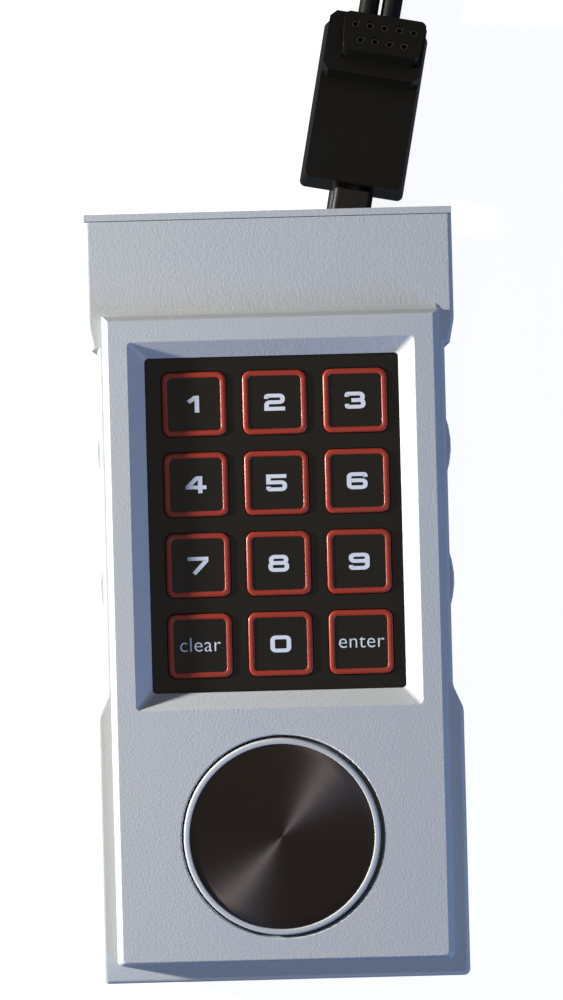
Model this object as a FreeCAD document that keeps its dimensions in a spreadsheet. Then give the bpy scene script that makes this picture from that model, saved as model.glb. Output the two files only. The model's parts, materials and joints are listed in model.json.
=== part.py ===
import FreeCAD, Part
import math
import os
import Sketcher

# Hand controller of a home console of the early 1980s: a flat plastic case with a chamfered
# faceplate, a twelve-key pad, a tilting direction disc, four side buttons and a lead that ends
# in a right-angle nine-way plug.
# Frame: +X to the player's right, +Y towards the lead, +Z up out of the face.
# The origin is under the middle of the case, on the plane that the back rests on.

DIMENSIONS = {
    # case
    "case_half": 35.35,
    "waist_half": 33.4,
    "foot_end": -74.0,
    "head_end": 74.0,
    "grip_shoulder_low": -22.6,
    "grip_shoulder_top": -18.2,
    "hood_step": 47.8,
    "hood_curl": 0.9,
    "hood_curl_length": 4.6,
    "parting_height": 9.5,
    "parting_gap": 0.1,
    "ledge_height": 20.0,
    "face_height": 23.5,
    "wall": 2.0,
    "case_corner": 1.2,
    "shoulder_corner": 3.6,
    "hood_corner": 6.0,
    "case_edge": 0.9,
    "back_edge": 1.2,
    "head_lip": 1.3,
    "head_gap": 0.15,
    "slope_start": 58.0,
    # faceplate
    "face_half_width": 32.4,
    "face_foot": -70.5,
    "face_head": 54.5,
    "face_draft": 19.65,
    "face_edge": 0.3,
    "face_corner": 1.0,
    "hood_cove": 1.6,
    "hood_cove_end": 0.5,
    # keypad window
    "window_middle": 13.9,
    "window_half_width": 24.35,
    "window_half_length": 32.15,
    "window_corner": 0.8,
    "bezel": 3.0,
    "bezel_low": 20.8,
    "frame_margin": 3.2,
    "overlay_half": 29.0,
    "mouth_half": 33.0,
    "mouth_inset": 0.3,
    "overlay_gap": 0.6,
    # keypad
    "sheet_margin": 2.85,
    "sheet_thick": 1.3,
    "sheet_skirt": 1.6,
    "key_side": 12.3,
    "key_gap": 0.15,
    "key_pitch": 15.47,
    "key_shift": 0.45,
    "key_corner": 1.6,
    "key_ridge": 1.07,
    "key_ridge_height": 0.45,
    "key_well": 0.2,
    "key_flange": 13.4,
    "key_flange_thick": 0.7,
    "key_flange_gap": 0.1,
    "key_plunger": 8.0,
    "key_plunger_length": 0.4,
    "key_drop": 0.5,
    # membrane switch and its plate
    "film": 0.2,
    "film_inset": 0.6,
    "contact_hole": 4.0,
    "plate_half_width": 28.4,
    "plate_foot": -67.0,
    "plate_head": 58.0,
    "plate_thick": 1.2,
    "plate_notch": 3.3,
    "plate_boss": 2.2,
    "plate_screw": 0.9,
    "plate_screw_head": 1.9,
    "plate_screw_head_height": 1.1,
    "plate_screw_length": 3.8,
    "plate_screw_head_across": 20.0,
    "plate_screw_head_along": 55.4,
    "plate_screw_pad_across": 25.6,
    "plate_screw_pad_along": -24.4,
    "plate_screw_foot_across": 24.0,
    "plate_screw_foot_along": -63.8,
    "plate_bore_spare": 0.2,
    "boss_root": 0.2,
    # direction disc
    "disc_shift": -0.2,
    "disc_middle": -45.8,
    "disc_hole": 19.35,
    "disc_rim": 18.75,
    "disc_top": 23.8,
    "disc_edge": 0.3,
    "disc_lip": 0.3,
    "disc_flange": 20.3,
    "disc_flange_low": 19.2,
    "disc_flange_top": 20.0,
    "inlay_radius": 17.6,
    "inlay_seat": 23.0,
    "inlay_thick": 0.4,
    "inlay_gap": 0.05,
    "film_hole": 1.7,
    "web_low": 21.0,
    "hub_radius": 4.5,
    "rib_inner": 13.2,
    "rib_outer": 14.2,
    "rib_low": 18.95,
    "ball_radius": 2.0,
    "ball_gap": 0.12,
    "ball_height": 20.6,
    "post_radius": 1.2,
    "post_foot_radius": 3.6,
    "spring_inner": 5.4,
    "spring_outer": 10.8,
    "spring_thick": 0.3,
    "spring_gap": 0.05,
    "ring_inner": 12.4,
    "ring_outer": 15.0,
    "ring_thick": 0.7,
    # side buttons
    "button_upper": 28.2,
    "button_lower": 2.2,
    "button_half_length": 6.6,
    "button_low": 10.0,
    "button_top": 16.2,
    "button_gap": 0.2,
    "button_crown": 1.0,
    "button_flange": 1.0,
    "button_flange_margin": 1.4,
    "leaf_thick": 0.2,
    "leaf_inset": 1.0,
    "leaf_tip": 1.0,
    "leaf_gap": 0.05,
    "strip_face": 28.8,
    "strip_thick": 0.3,
    "strip_margin": 3.0,
    # case screws
    "screw_across": 29.4,
    "screw_head_end": 52.5,
    "screw_foot_end": -69.0,
    "boss_radius": 2.9,
    "rear_boss_radius": 3.9,
    "case_screw": 1.2,
    "case_screw_head": 2.3,
    "case_screw_head_height": 1.6,
    "case_screw_top": 16.0,
    "screw_clearance": 0.04,
    "plate_screw_play": 0.12,
    "case_screw_play": 0.2,
    "bore_spare": 1.0,
    "counterbore": 2.6,
    "counterbore_depth": 2.4,
    # label recess in the back
    "label_half_width": 19.0,
    "label_half_length": 12.0,
    "label_depth": 0.4,
    # lead inside the case
    "exit_across": 17.2,
    "exit_height": 5.2,
    "cord_radius": 2.0,
    "stub_inner_end": 48.0,
    "stub_outer_end": 59.6,
    "grommet_radius": 2.9,
    "grommet_tip_radius": 2.4,
    "grommet_inner_end": 58.5,
    "grommet_shoulder": 63.6,
    "grommet_outer_end": 67.0,
    "clamp_middle": 52.0,
    "clamp_half_length": 2.0,
    "clamp_half_width": 7.0,
    "clamp_top": 8.8,
    "clamp_screw_across": 5.0,
    "clamp_post": 1.9,
    "clamp_post_top": 5.4,
    "clamp_screw_low": 2.4,
    "connector_half_width": 9.0,
    "connector_foot": 56.4,
    "connector_head": 60.6,
    "connector_low": 6.6,
    "connector_top": 11.0,
    "connector_chamfer": 0.4,
    "tail_half_width": 6.0,
    "tail_plane": 58.9,
    "tail_gap": 0.1,
    "wire_radius": 0.22,
    "wire_start": -6.4,
    "wire_pitch": 1.6,
    "wire_start_height": 8.2,
    "wire_fold": 41.6,
    "wire_fold_step": 0.7,
    "wire_fold_height": 7.2,
    "wire_end": 1.6,
    "wire_end_step": 0.4,
    # plug, in its own frame: +Y along its lead, from the end where the lead enters
    "plug_across": 16.6,
    "plug_along": 79.0,
    "plug_turn": -10.6,
    "plug_low": 4.6,
    "slab_top": 12.9,
    "slab_half_width": 10.4,
    "slab_length": 33.2,
    "slab_draft": 6.0,
    "flange_top": 20.9,
    "flange_half_width": 9.4,
    "flange_start": 20.6,
    "flange_inset": 1.2,
    "nose_top": 28.6,
    "nose_seat": 2.0,
    "nose_shift": 1.2,
    "nose_middle": 26.9,
    "nose_half_width": 7.9,
    "nose_narrow": 0.75,
    "nose_half_depth": 3.6,
    "socket_pitch": 2.77,
    "socket_rows": 2.84,
    "socket_radius": 0.75,
    "socket_depth": 6.0,
    "contact_radius": 0.7,
    "contact_bore": 0.45,
    "contact_recess": 0.9,
    "contact_floor": 1.0,
    "neck_half_width": 3.9,
    "neck_shift": 0.5,
    "neck_half_height": 2.6,
    "neck_height": 10.0,
    "neck_length": 5.9,
    # coil of spare lead, in the plug's frame
    "coil_across": -27.75,
    "coil_along": 74.0,
    "coil_radius": 31.8,
    "coil_height": 8.2,
    "coil_edge": 2.0,
    "tie_width": 6.0,
    "tie_thick": 0.5,
    "tie_inner": 14.5,
}

# Where the lead runs, in the plug's frame (across, along, height), in millimetres.
EXIT_ROUTE = [
    (4.16, -18.96, 5.2),
    (2.72, -11.29, 5.2),
    (2.2, -5.2, 2.9),
    (2.1, 2.6, 2.0),
    (2.3, 14.0, 2.0),
    (2.1, 28.0, 2.0),
    (2.35, 43.0, 2.0),
    (2.1, 59.0, 2.0),
    (2.05, 73.0, 2.0),
]
RETURN_ROUTE = [
    (-2.2, 73.0, 6.0),
    (-2.25, 62.0, 5.7),
    (-2.4, 50.0, 2.5),
    (-2.2, 38.0, 2.0),
    (-2.35, 25.0, 2.0),
    (-2.15, 12.0, 2.0),
    (-2.3, 1.0, 2.0),
    (-2.2, -8.2, 2.0),
    (-2.0, -10.5, 6.0),
    (-1.4, -8.2, 10.0),
    (-0.8, -1.9, 10.1),
]


class Length:
    """A size with its value and the sheet expression that gives it."""

    def __init__(self, text, value):
        self.text = text
        self.value = value

    def join(self, sign, other, value):
        return Length(f"({self.text} {sign} {as_length(other).text})", value)

    def __add__(self, other):
        return self.join("+", other, self.value + as_length(other).value)

    def __sub__(self, other):
        return self.join("-", other, self.value - as_length(other).value)

    def __mul__(self, other):
        return self.join("*", other, self.value * as_length(other).value)

    def __truediv__(self, other):
        return self.join("/", other, self.value / as_length(other).value)

    def __neg__(self):
        return Length(f"(0 - {self.text})", -self.value)


ARC_SHARE = 0.45
VOLUME_TOLERANCE = 0.01


def as_length(size):
    return size if isinstance(size, Length) else Length(repr(float(size)), float(size))


class Sizes:
    """The dimension sheet's cells, read as size.NAME."""

    def __init__(self, document):
        sheet = document.addObject("Spreadsheet::Sheet", "Dims")
        for row, (name, value) in enumerate(DIMENSIONS.items(), start=1):
            sheet.set(f"A{row}", name)
            sheet.set(f"B{row}", str(value))
            sheet.setAlias(f"B{row}", name)
            setattr(self, name, Length(f"Dims.{name}", value))


doc = FreeCAD.newDocument("hand_controller")
size = Sizes(doc)
doc.recompute()
sub_parts = []

# Heights that follow from the driving dimensions.
sheet_top = size.bezel_low - size.overlay_gap
sheet_low = sheet_top - size.sheet_thick
flange_top = sheet_low - size.key_flange_gap
flange_low = flange_top - size.key_flange_thick
plunger_low = flange_low - size.key_plunger_length
film_top = plunger_low - size.key_drop
plate_top = film_top - size.film * 3
plate_low = plate_top - size.plate_thick
ledge_underside = size.ledge_height - size.wall
face_underside = size.face_height - size.wall
slope_rise = size.wall * math.sqrt(2)
front_head_end = size.head_end - size.head_lip - size.head_gap
sheet_half_width = size.window_half_width + size.sheet_margin
sheet_half_length = size.window_half_length + size.sheet_margin
KEY_NAMES = ["1", "2", "3", "4", "5", "6", "7", "8", "9", "clear", "0", "enter"]


def key_centre(index):
    """Across and along position of a key, counted by rows from the head end."""
    across = size.key_shift + size.key_pitch * (index % 3 - 1)
    along = size.window_middle + size.key_pitch * (1.5 - index // 3)
    return across, along


def bind(target, name, length):
    """Sets a property from a size and ties it to the sheet."""
    target.setExpression(name, as_length(length).text)


def place(target, across=0, along=0, height=0):
    """Puts a sub-part at a place that the sheet gives."""
    for axis, length in (("x", across), ("y", along), ("z", height)):
        bind(target, f".Placement.Base.{axis}", length)


def finish(target, label):
    target.Label = label
    sub_parts.append(target)
    return target


# PartDesign helpers

def new_body(label):
    return finish(doc.addObject("PartDesign::Body", label), label)


def new_sketch(body, plane, offset=0):
    """A sketch on one of the body's own origin planes, moved along that plane's normal."""
    sketch = body.newObject("Sketcher::SketchObject", f"{body.Name}_sketch")
    role = {"top": "XY_Plane", "front": "XZ_Plane", "side": "YZ_Plane"}[plane]
    support = next(item for item in body.Origin.OriginFeatures if item.Role == role)
    sketch.AttachmentSupport = (support, [""])
    sketch.MapMode = "FlatFace"
    bind(sketch, ".AttachmentOffset.Base.z", offset)
    return sketch


def pin_point(sketch, element, vertex, across, along):
    for kind, length in (("DistanceX", across), ("DistanceY", along)):
        length = as_length(length)
        index = sketch.addConstraint(Sketcher.Constraint(kind, -1, 1, element, vertex, length.value))
        bind(sketch, f"Constraints[{index}]", length)


def draw_polygon(sketch, points):
    """A closed outline of straight lines through points given as sizes."""
    first = sketch.GeometryCount
    corners = [FreeCAD.Vector(as_length(x).value, as_length(y).value, 0) for x, y in points]
    count = len(corners)
    for index in range(count):
        sketch.addGeometry(Part.LineSegment(corners[index], corners[(index + 1) % count]), False)
    for index in range(count):
        following = first + (index + 1) % count
        sketch.addConstraint(Sketcher.Constraint("Coincident", first + index, 2, following, 1))
    for index, (across, along) in enumerate(points):
        pin_point(sketch, first + index, 1, across, along)


def draw_rectangle(sketch, low_x, high_x, low_y, high_y):
    draw_polygon(sketch, [(low_x, low_y), (high_x, low_y), (high_x, high_y), (low_x, high_y)])


CORNER_STEPS = 4


def cut_corners(half_width, low, high, corner):
    """A rectangle about the Y axis with its corners cut off."""
    right = [
        (half_width - corner, low),
        (half_width, low + corner),
        (half_width, high - corner),
        (half_width - corner, high),
    ]
    left = [(-across, along) for across, along in reversed(right)]
    return right + left


def rounded_outline(half_width, middle, half_length, corner):
    """A rectangle about the Y axis with its corners rounded by short straight steps."""
    points = []
    for quarter, (side, end) in enumerate(((1, 1), (-1, 1), (-1, -1), (1, -1))):
        for step in range(CORNER_STEPS + 1):
            angle = math.pi / 2 * (quarter + step / CORNER_STEPS)
            across = (half_width - corner) * side + corner * math.cos(angle)
            along = middle + (half_length - corner) * end + corner * math.sin(angle)
            points.append((across, along))
    return points


def draw_circle(sketch, across, along, radius):
    radius = as_length(radius)
    middle = FreeCAD.Vector(as_length(across).value, as_length(along).value, 0)
    element = sketch.addGeometry(Part.Circle(middle, FreeCAD.Vector(0, 0, 1), radius.value), False)
    index = sketch.addConstraint(Sketcher.Constraint("Radius", element, radius.value))
    bind(sketch, f"Constraints[{index}]", radius)
    pin_point(sketch, element, 3, across, along)


def body_volume(body):
    doc.recompute()
    return 0.0 if body.Shape.isNull() else body.Shape.Volume


def add_feature(body, kind, sketch, length, reverse=False, draft=None):
    feature = body.newObject(f"PartDesign::{kind}", f"{body.Name}_{kind.lower()}")
    feature.Profile = sketch
    bind(feature, "Length", length)
    feature.Reversed = reverse
    if draft is not None:
        bind(feature, "TaperAngle", draft)
    return feature


def pad(body, sketch, length, reverse=False, draft=None):
    before = body_volume(body)
    feature = add_feature(body, "Pad", sketch, length, reverse, draft)
    if body_volume(body) <= before:
        raise RuntimeError(f"{feature.Label} adds nothing")
    return feature


def pocket(body, sketch, length, reverse=False, both_sides=False):
    before = body_volume(body)
    feature = add_feature(body, "Pocket", sketch, length, reverse)
    feature.Midplane = both_sides
    if body_volume(body) >= before:
        raise RuntimeError(f"{feature.Label} cuts nothing")
    return feature


def dress(body, kind, amount, chooses):
    """Rounds or bevels the edges of the body's tip that a test picks."""
    doc.recompute()
    edges = [f"Edge{number}" for number, edge in enumerate(body.Tip.Shape.Edges, start=1) if chooses(edge)]
    if not edges:
        raise RuntimeError(f"{body.Label} has no edge to dress")
    base = body.Tip
    feature = body.newObject(f"PartDesign::{kind}", f"{body.Name}_{kind.lower()}")
    feature.Base = (base, edges)
    bind(feature, "Radius" if kind == "Fillet" else "Size", amount)
    doc.recompute()
    return feature


def revolve(body, sketch):
    """Turns a profile drawn on the front plane about the vertical axis."""
    feature = body.newObject("PartDesign::Revolution", f"{body.Name}_revolution")
    feature.Profile = sketch
    feature.ReferenceAxis = (sketch, ["V_Axis"])
    feature.Angle = 360
    doc.recompute()
    return feature


NEAR = 0.01


def is_upright(edge):
    ends = [vertex.Point for vertex in edge.Vertexes]
    return len(ends) == 2 and abs(ends[0].x - ends[1].x) < NEAR and abs(ends[0].y - ends[1].y) < NEAR


def is_level(edge, height):
    box = edge.BoundBox
    return abs(box.ZMin - height.value) < NEAR and abs(box.ZMax - height.value) < NEAR


# Part helpers

def new_cylinder(label, radius, height, across=0, along=0, low=0):
    cylinder = doc.addObject("Part::Cylinder", label)
    bind(cylinder, "Radius", radius)
    bind(cylinder, "Height", height)
    place(cylinder, across, along, low)
    return cylinder


def new_box(label, low_x, high_x, low_y, high_y, low_z, high_z):
    bounds = (low_x, high_x, low_y, high_y, low_z, high_z)
    low_x, high_x, low_y, high_y, low_z, high_z = map(as_length, bounds)
    box = doc.addObject("Part::Box", label)
    bind(box, "Length", high_x - low_x)
    bind(box, "Width", high_y - low_y)
    bind(box, "Height", high_z - low_z)
    place(box, low_x, low_y, low_z)
    return box


def fuse(label, shapes):
    result = doc.addObject("Part::MultiFuse", label)
    result.Shapes = shapes
    return result


def cut(label, base, tools):
    result = doc.addObject("Part::Cut", label)
    result.Base = base
    result.Tool = tools[0] if len(tools) == 1 else fuse(f"{label}_tools", tools)
    return result


def group(label, shapes):
    """Several separate solids kept as one sub-part."""
    result = doc.addObject("Part::Compound", label)
    result.Links = shapes
    return finish(result, label)


# Case

def case_outline(inset, foot, head):
    """The case seen from above: wide grip, narrow waist and wide hood, symmetrical about X."""
    wide = size.case_half - inset
    narrow = size.waist_half - inset
    right = [
        (wide, foot),
        (wide, size.grip_shoulder_low - inset),
        (narrow, size.grip_shoulder_top - inset),
        (narrow, size.hood_step + inset),
        (wide - size.hood_curl, size.hood_step + inset),
        (wide, size.hood_step + inset + size.hood_curl_length),
        (wide, head),
    ]
    left = [(-across, along) for across, along in reversed(right)]
    return right + left


def case_screw_places():
    return [
        (size.screw_across * side, along)
        for side in (-1, 1)
        for along in (size.screw_head_end, size.screw_foot_end)
    ]


def plate_screw_places():
    """Six screws hold the switch plate: two at the hood, two under the pad, two at the foot."""
    rows = [
        (size.plate_screw_head_across, size.plate_screw_head_along),
        (size.plate_screw_pad_across, size.plate_screw_pad_along),
        (size.plate_screw_foot_across, size.plate_screw_foot_along),
    ]
    return [(across * side, along) for across, along in rows for side in (-1, 1)]


def button_places():
    return {
        "upper": size.button_upper,
        "lower": size.button_lower,
    }


def round_case_corners(body):
    """Rounds the upright edges of the grip, the waist and the hood."""
    foot_corners = (size.case_half.value, size.foot_end.value)
    dress(body, "Fillet", size.case_corner, lambda edge: is_upright(edge) and (
        abs(abs(edge.BoundBox.Center.x) - foot_corners[0]) < NEAR
        and abs(edge.BoundBox.Center.y - foot_corners[1]) < NEAR
    ))
    curl_top = (size.hood_step + size.hood_curl_length).value
    dress(body, "Fillet", size.hood_corner, lambda edge: is_upright(edge) and (
        abs(edge.BoundBox.Center.y - curl_top) < NEAR
    ))
    shoulders = (size.grip_shoulder_low.value, size.grip_shoulder_top.value)
    dress(body, "Fillet", size.shoulder_corner, lambda edge: is_upright(edge) and (
        min(abs(edge.BoundBox.Center.y - shoulder) for shoulder in shoulders) < NEAR
    ))


def front_cover():
    body = new_body("front_cover")
    low = size.parting_height + size.parting_gap / 2
    outline = new_sketch(body, "top", low)
    draw_polygon(outline, case_outline(0, size.foot_end, front_head_end))
    pad(body, outline, size.ledge_height - low)
    round_case_corners(body)
    dress(body, "Fillet", size.case_edge, lambda edge: is_level(edge, size.ledge_height) and (
        edge.BoundBox.Center.y < front_head_end.value - NEAR
    ))

    plate = new_sketch(body, "top", size.ledge_height)
    draw_rectangle(plate, -size.face_half_width, size.face_half_width, size.face_foot, size.face_head)
    pad(body, plate, size.face_height - size.ledge_height, draft=-size.face_draft)
    dress(body, "Fillet", size.face_corner, lambda edge: edge.BoundBox.Center.y < 0 and (
        abs(edge.BoundBox.ZMin - size.ledge_height.value) < NEAR
        and abs(edge.BoundBox.ZMax - size.face_height.value) < NEAR
    ))
    add_hood_cove(body)

    hollow = new_sketch(body, "top", low)
    draw_polygon(hollow, case_outline(size.wall, size.foot_end + size.wall, front_head_end - size.wall))
    pocket(body, hollow, ledge_underside - low, reverse=True)
    inner = new_sketch(body, "top", ledge_underside)
    draw_rectangle(
        inner,
        size.wall - size.face_half_width, size.face_half_width - size.wall,
        size.face_foot + size.wall, size.face_head - size.wall,
    )
    pocket(body, inner, face_underside - ledge_underside, reverse=True)

    wedge = new_sketch(body, "side")
    wedge_rise = slope_rise + size.head_gap
    draw_polygon(wedge, [
        (size.slope_start + low - wedge_rise, low - 1),
        (size.slope_start + low - wedge_rise, low),
        (size.head_end, size.head_end - size.slope_start + wedge_rise),
        (size.head_end, low - 1),
    ])
    pocket(body, wedge, size.case_half * 3, both_sides=True)
    cut_keypad_window(body)
    cut_disc_hole(body)
    dress(body, "Fillet", size.face_edge, lambda edge: is_level(edge, size.face_height))
    cut_button_notches(body)
    add_front_bosses(body, low)


COVE_STEPS = 6


def add_hood_cove(body):
    """Hollow curve along the foot of the faceplate's head side, where it runs out into the hood."""
    lean = math.radians(size.face_draft.value)
    radius = size.hood_cove
    middle_along = size.face_head + radius * math.tan((math.pi / 2 - lean) / 2)
    middle_height = size.ledge_height + radius
    points = [(size.face_head - radius, size.ledge_height - size.boss_root)]
    points.append((middle_along, size.ledge_height - size.boss_root))
    for step in range(COVE_STEPS + 1):
        angle = -math.pi / 2 - (math.pi / 2 - lean) * step / COVE_STEPS
        points.append((middle_along + radius * math.cos(angle), middle_height + radius * math.sin(angle)))
    points.append((size.face_head - radius, middle_height))
    cove = new_sketch(body, "side")
    draw_polygon(cove, points)
    pad(body, cove, (size.face_half_width - size.hood_cove_end) * 2).Midplane = True
    doc.recompute()


def cut_keypad_window(body):
    """Bevelled window over the keypad, with a slot behind it for a printed overlay."""
    half_width = size.window_half_width + size.frame_margin
    half_length = size.window_half_length + size.frame_margin
    frame = new_sketch(body, "top", size.bezel_low)
    draw_rectangle(
        frame, -half_width, half_width, size.window_middle - half_length, size.window_middle + half_length
    )
    pad(body, frame, face_underside - size.bezel_low)

    levels = [(size.bezel, size.face_height), (as_length(0), size.bezel_low)]
    profiles = []
    for margin, height in levels:
        sketch = new_sketch(body, "top", height)
        across = size.window_half_width + margin
        along = size.window_half_length + margin
        draw_polygon(sketch, rounded_outline(across, size.window_middle, along, size.window_corner))
        profiles.append(sketch)
    before = body_volume(body)
    loft = body.newObject("PartDesign::SubtractiveLoft", "front_cover_bezel")
    loft.Profile = profiles[0]
    loft.Sections = [(profiles[1], [""])]
    loft.Ruled = True
    if body_volume(body) >= before:
        raise RuntimeError("the bezel cuts nothing")

    slot = new_sketch(body, "top", sheet_top)
    mouth = size.face_head - size.mouth_inset
    outside = size.face_head + size.wall
    draw_polygon(slot, [
        (-size.overlay_half, size.window_middle),
        (size.overlay_half, size.window_middle),
        (size.overlay_half, mouth),
        (size.mouth_half, mouth),
        (size.mouth_half, outside),
        (-size.mouth_half, outside),
        (-size.mouth_half, mouth),
        (-size.overlay_half, mouth),
    ])
    pocket(body, slot, size.overlay_gap, reverse=True)


def cut_disc_hole(body):
    hole = new_sketch(body, "top", size.face_height)
    draw_circle(hole, 0, size.disc_middle, size.disc_hole)
    pocket(body, hole, size.wall * 2)


def cut_button_notches(body):
    """Four notches in the waist, open at the parting line, that the side buttons slide in."""
    low = size.parting_height
    notches = new_sketch(body, "top", low)
    reach = size.button_half_length + size.button_gap
    for side in (-1, 1):
        for along in button_places().values():
            inner = (size.waist_half - size.wall * 2) * side
            outer = (size.waist_half + size.wall) * side
            draw_rectangle(notches, inner, outer, along - reach, along + reach)
    pocket(body, notches, size.button_top + size.button_gap - low, reverse=True)


def add_front_bosses(body, low):
    """Screw bosses for the rear cover's four screws and the switch plate's six."""
    posts = new_sketch(body, "top", low + size.parting_gap)
    for across, along in case_screw_places():
        draw_circle(posts, across, along, size.boss_radius)
    pad(body, posts, ledge_underside - low)
    for ceiling, under_hood in ((ledge_underside, True), (face_underside, False)):
        short_posts = new_sketch(body, "top", plate_top)
        for across, along in plate_screw_places():
            if (along.value > size.face_head.value) == under_hood:
                draw_circle(short_posts, across, along, size.plate_boss)
        pad(body, short_posts, ceiling + size.boss_root - plate_top)
    bores = new_sketch(body, "top", low)
    for across, along in case_screw_places():
        draw_circle(bores, across, along, size.case_screw + size.screw_clearance)
    pocket(body, bores, size.case_screw_top + size.bore_spare - low, reverse=True)
    short_bores = new_sketch(body, "top", plate_top)
    for across, along in plate_screw_places():
        draw_circle(short_bores, across, along, size.plate_screw + size.screw_clearance)
    bore_depth = size.plate_screw_length - size.plate_thick + size.plate_bore_spare
    pocket(body, short_bores, bore_depth, reverse=True)


def rear_cover():
    body = new_body("rear_cover")
    top = size.parting_height - size.parting_gap / 2
    outline = new_sketch(body, "top")
    draw_polygon(outline, case_outline(0, size.foot_end, size.head_end))
    pad(body, outline, size.ledge_height)
    round_case_corners(body)

    lip = size.head_end - size.head_lip
    above = new_sketch(body, "side")
    draw_polygon(above, [
        (size.foot_end - 1, top),
        (size.slope_start + top - slope_rise, top),
        (lip, lip - size.slope_start + slope_rise),
        (lip, size.ledge_height + 1),
        (size.foot_end - 1, size.ledge_height + 1),
    ])
    pocket(body, above, size.case_half * 3, both_sides=True)
    below = new_sketch(body, "side")
    draw_polygon(below, [
        (size.slope_start, as_length(0)),
        (size.head_end + 1, size.head_end + 1 - size.slope_start),
        (size.head_end + 1, as_length(-1)),
        (size.slope_start - 1, as_length(-1)),
    ])
    pocket(body, below, size.case_half * 3, both_sides=True)
    dress(body, "Fillet", size.back_edge, lambda edge: is_level(edge, as_length(0)) and (
        edge.BoundBox.Center.y < size.slope_start.value - NEAR
    ))

    floor_end = size.slope_start + size.wall - slope_rise
    hollow = new_sketch(body, "top", size.wall)
    draw_polygon(hollow, case_outline(size.wall, size.foot_end + size.wall, floor_end))
    pocket(body, hollow, size.parting_height, reverse=True)
    ramp = new_sketch(body, "side")
    draw_polygon(ramp, [
        (floor_end - 1, size.wall),
        (floor_end, size.wall),
        (floor_end + top - size.wall + 1, top + 1),
        (floor_end - 1, top + 1),
    ])
    pocket(body, ramp, (size.case_half - size.wall) * 2, both_sides=True)
    add_rear_bosses(body, top)
    cut_back_details(body)


def add_rear_bosses(body, top):
    posts = new_sketch(body, "top", size.wall / 2)
    for across, along in case_screw_places():
        draw_circle(posts, across, along, size.rear_boss_radius)
    pad(body, posts, top - size.wall / 2)
    clamp_posts = new_sketch(body, "top", size.wall / 2)
    for side in (-1, 1):
        draw_circle(
            clamp_posts, size.exit_across + size.clamp_screw_across * side, size.clamp_middle, size.clamp_post
        )
    pad(body, clamp_posts, size.clamp_post_top - size.wall / 2)


def cut_back_details(body):
    """Screw holes with sunk heads, a blank label recess and the lead's hole in the slope."""
    bores = new_sketch(body, "top")
    for across, along in case_screw_places():
        draw_circle(bores, across, along, size.case_screw + size.case_screw_play)
    pocket(body, bores, size.ledge_height, reverse=True)
    sinks = new_sketch(body, "top")
    for across, along in case_screw_places():
        draw_circle(sinks, across, along, size.counterbore)
    pocket(body, sinks, size.counterbore_depth, reverse=True)
    label = new_sketch(body, "top")
    draw_rectangle(
        label, -size.label_half_width, size.label_half_width, -size.label_half_length, size.label_half_length
    )
    pocket(body, label, size.label_depth, reverse=True)
    clamp_bores = new_sketch(body, "top", size.wall)
    for side in (-1, 1):
        draw_circle(
            clamp_bores,
            size.exit_across + size.clamp_screw_across * side, size.clamp_middle,
            size.plate_screw + size.screw_clearance,
        )
    pocket(body, clamp_bores, size.clamp_post_top, reverse=True)
    lead_hole = new_sketch(body, "front", -size.grommet_outer_end)
    draw_circle(lead_hole, size.exit_across, size.exit_height, size.grommet_radius + size.screw_clearance)
    pocket(body, lead_hole, size.grommet_outer_end - size.grommet_inner_end, reverse=True)


def screw(label, shank, shank_length, head, head_height, across, along, head_low):
    """A pan-head screw that points up, with a cross recess left to the finish."""
    parts = [
        new_cylinder(f"{label}_head", head, head_height, across, along, head_low),
        new_cylinder(f"{label}_shank", shank, shank_length, across, along, head_low + head_height),
    ]
    return fuse(label, parts)


def case_screws():
    low = size.counterbore_depth - size.case_screw_head_height
    length = size.case_screw_top - size.counterbore_depth
    group("case_screws", [
        screw(f"case_screw_{number}", size.case_screw, length,
              size.case_screw_head, size.case_screw_head_height, across, along, low)
        for number, (across, along) in enumerate(case_screw_places())
    ])


# Keypad

def keypad_sheet():
    """Black sheet with a hole for each key and a skirt that stands on the switch plate."""
    body = new_body("keypad_sheet")
    block = new_sketch(body, "top", plate_top)
    low_y = size.window_middle - sheet_half_length
    high_y = size.window_middle + sheet_half_length
    draw_rectangle(block, -sheet_half_width, sheet_half_width, low_y, high_y)
    pad(body, block, sheet_top - plate_top)
    dress(body, "Fillet", size.key_corner, is_upright)
    under = new_sketch(body, "top", plate_top)
    skirt = size.sheet_skirt
    draw_rectangle(
        under, skirt - sheet_half_width, sheet_half_width - skirt, low_y + skirt, high_y - skirt
    )
    pocket(body, under, sheet_low - plate_top, reverse=True)
    holes = new_sketch(body, "top", sheet_top)
    half = size.key_side / 2 + size.key_gap
    for index in range(len(KEY_NAMES)):
        across, along = key_centre(index)
        draw_rectangle(holes, across - half, across + half, along - half, along + half)
    pocket(body, holes, size.sheet_thick * 2)
    key_edges = [key_centre(index) for index in range(len(KEY_NAMES))]
    dress(body, "Fillet", size.key_corner + size.key_gap, lambda edge: is_upright(edge) and any(
        abs(abs(edge.BoundBox.Center.x - across.value) - half.value) < NEAR
        and abs(abs(edge.BoundBox.Center.y - along.value) - half.value) < NEAR
        for across, along in key_edges
    ))


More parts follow.
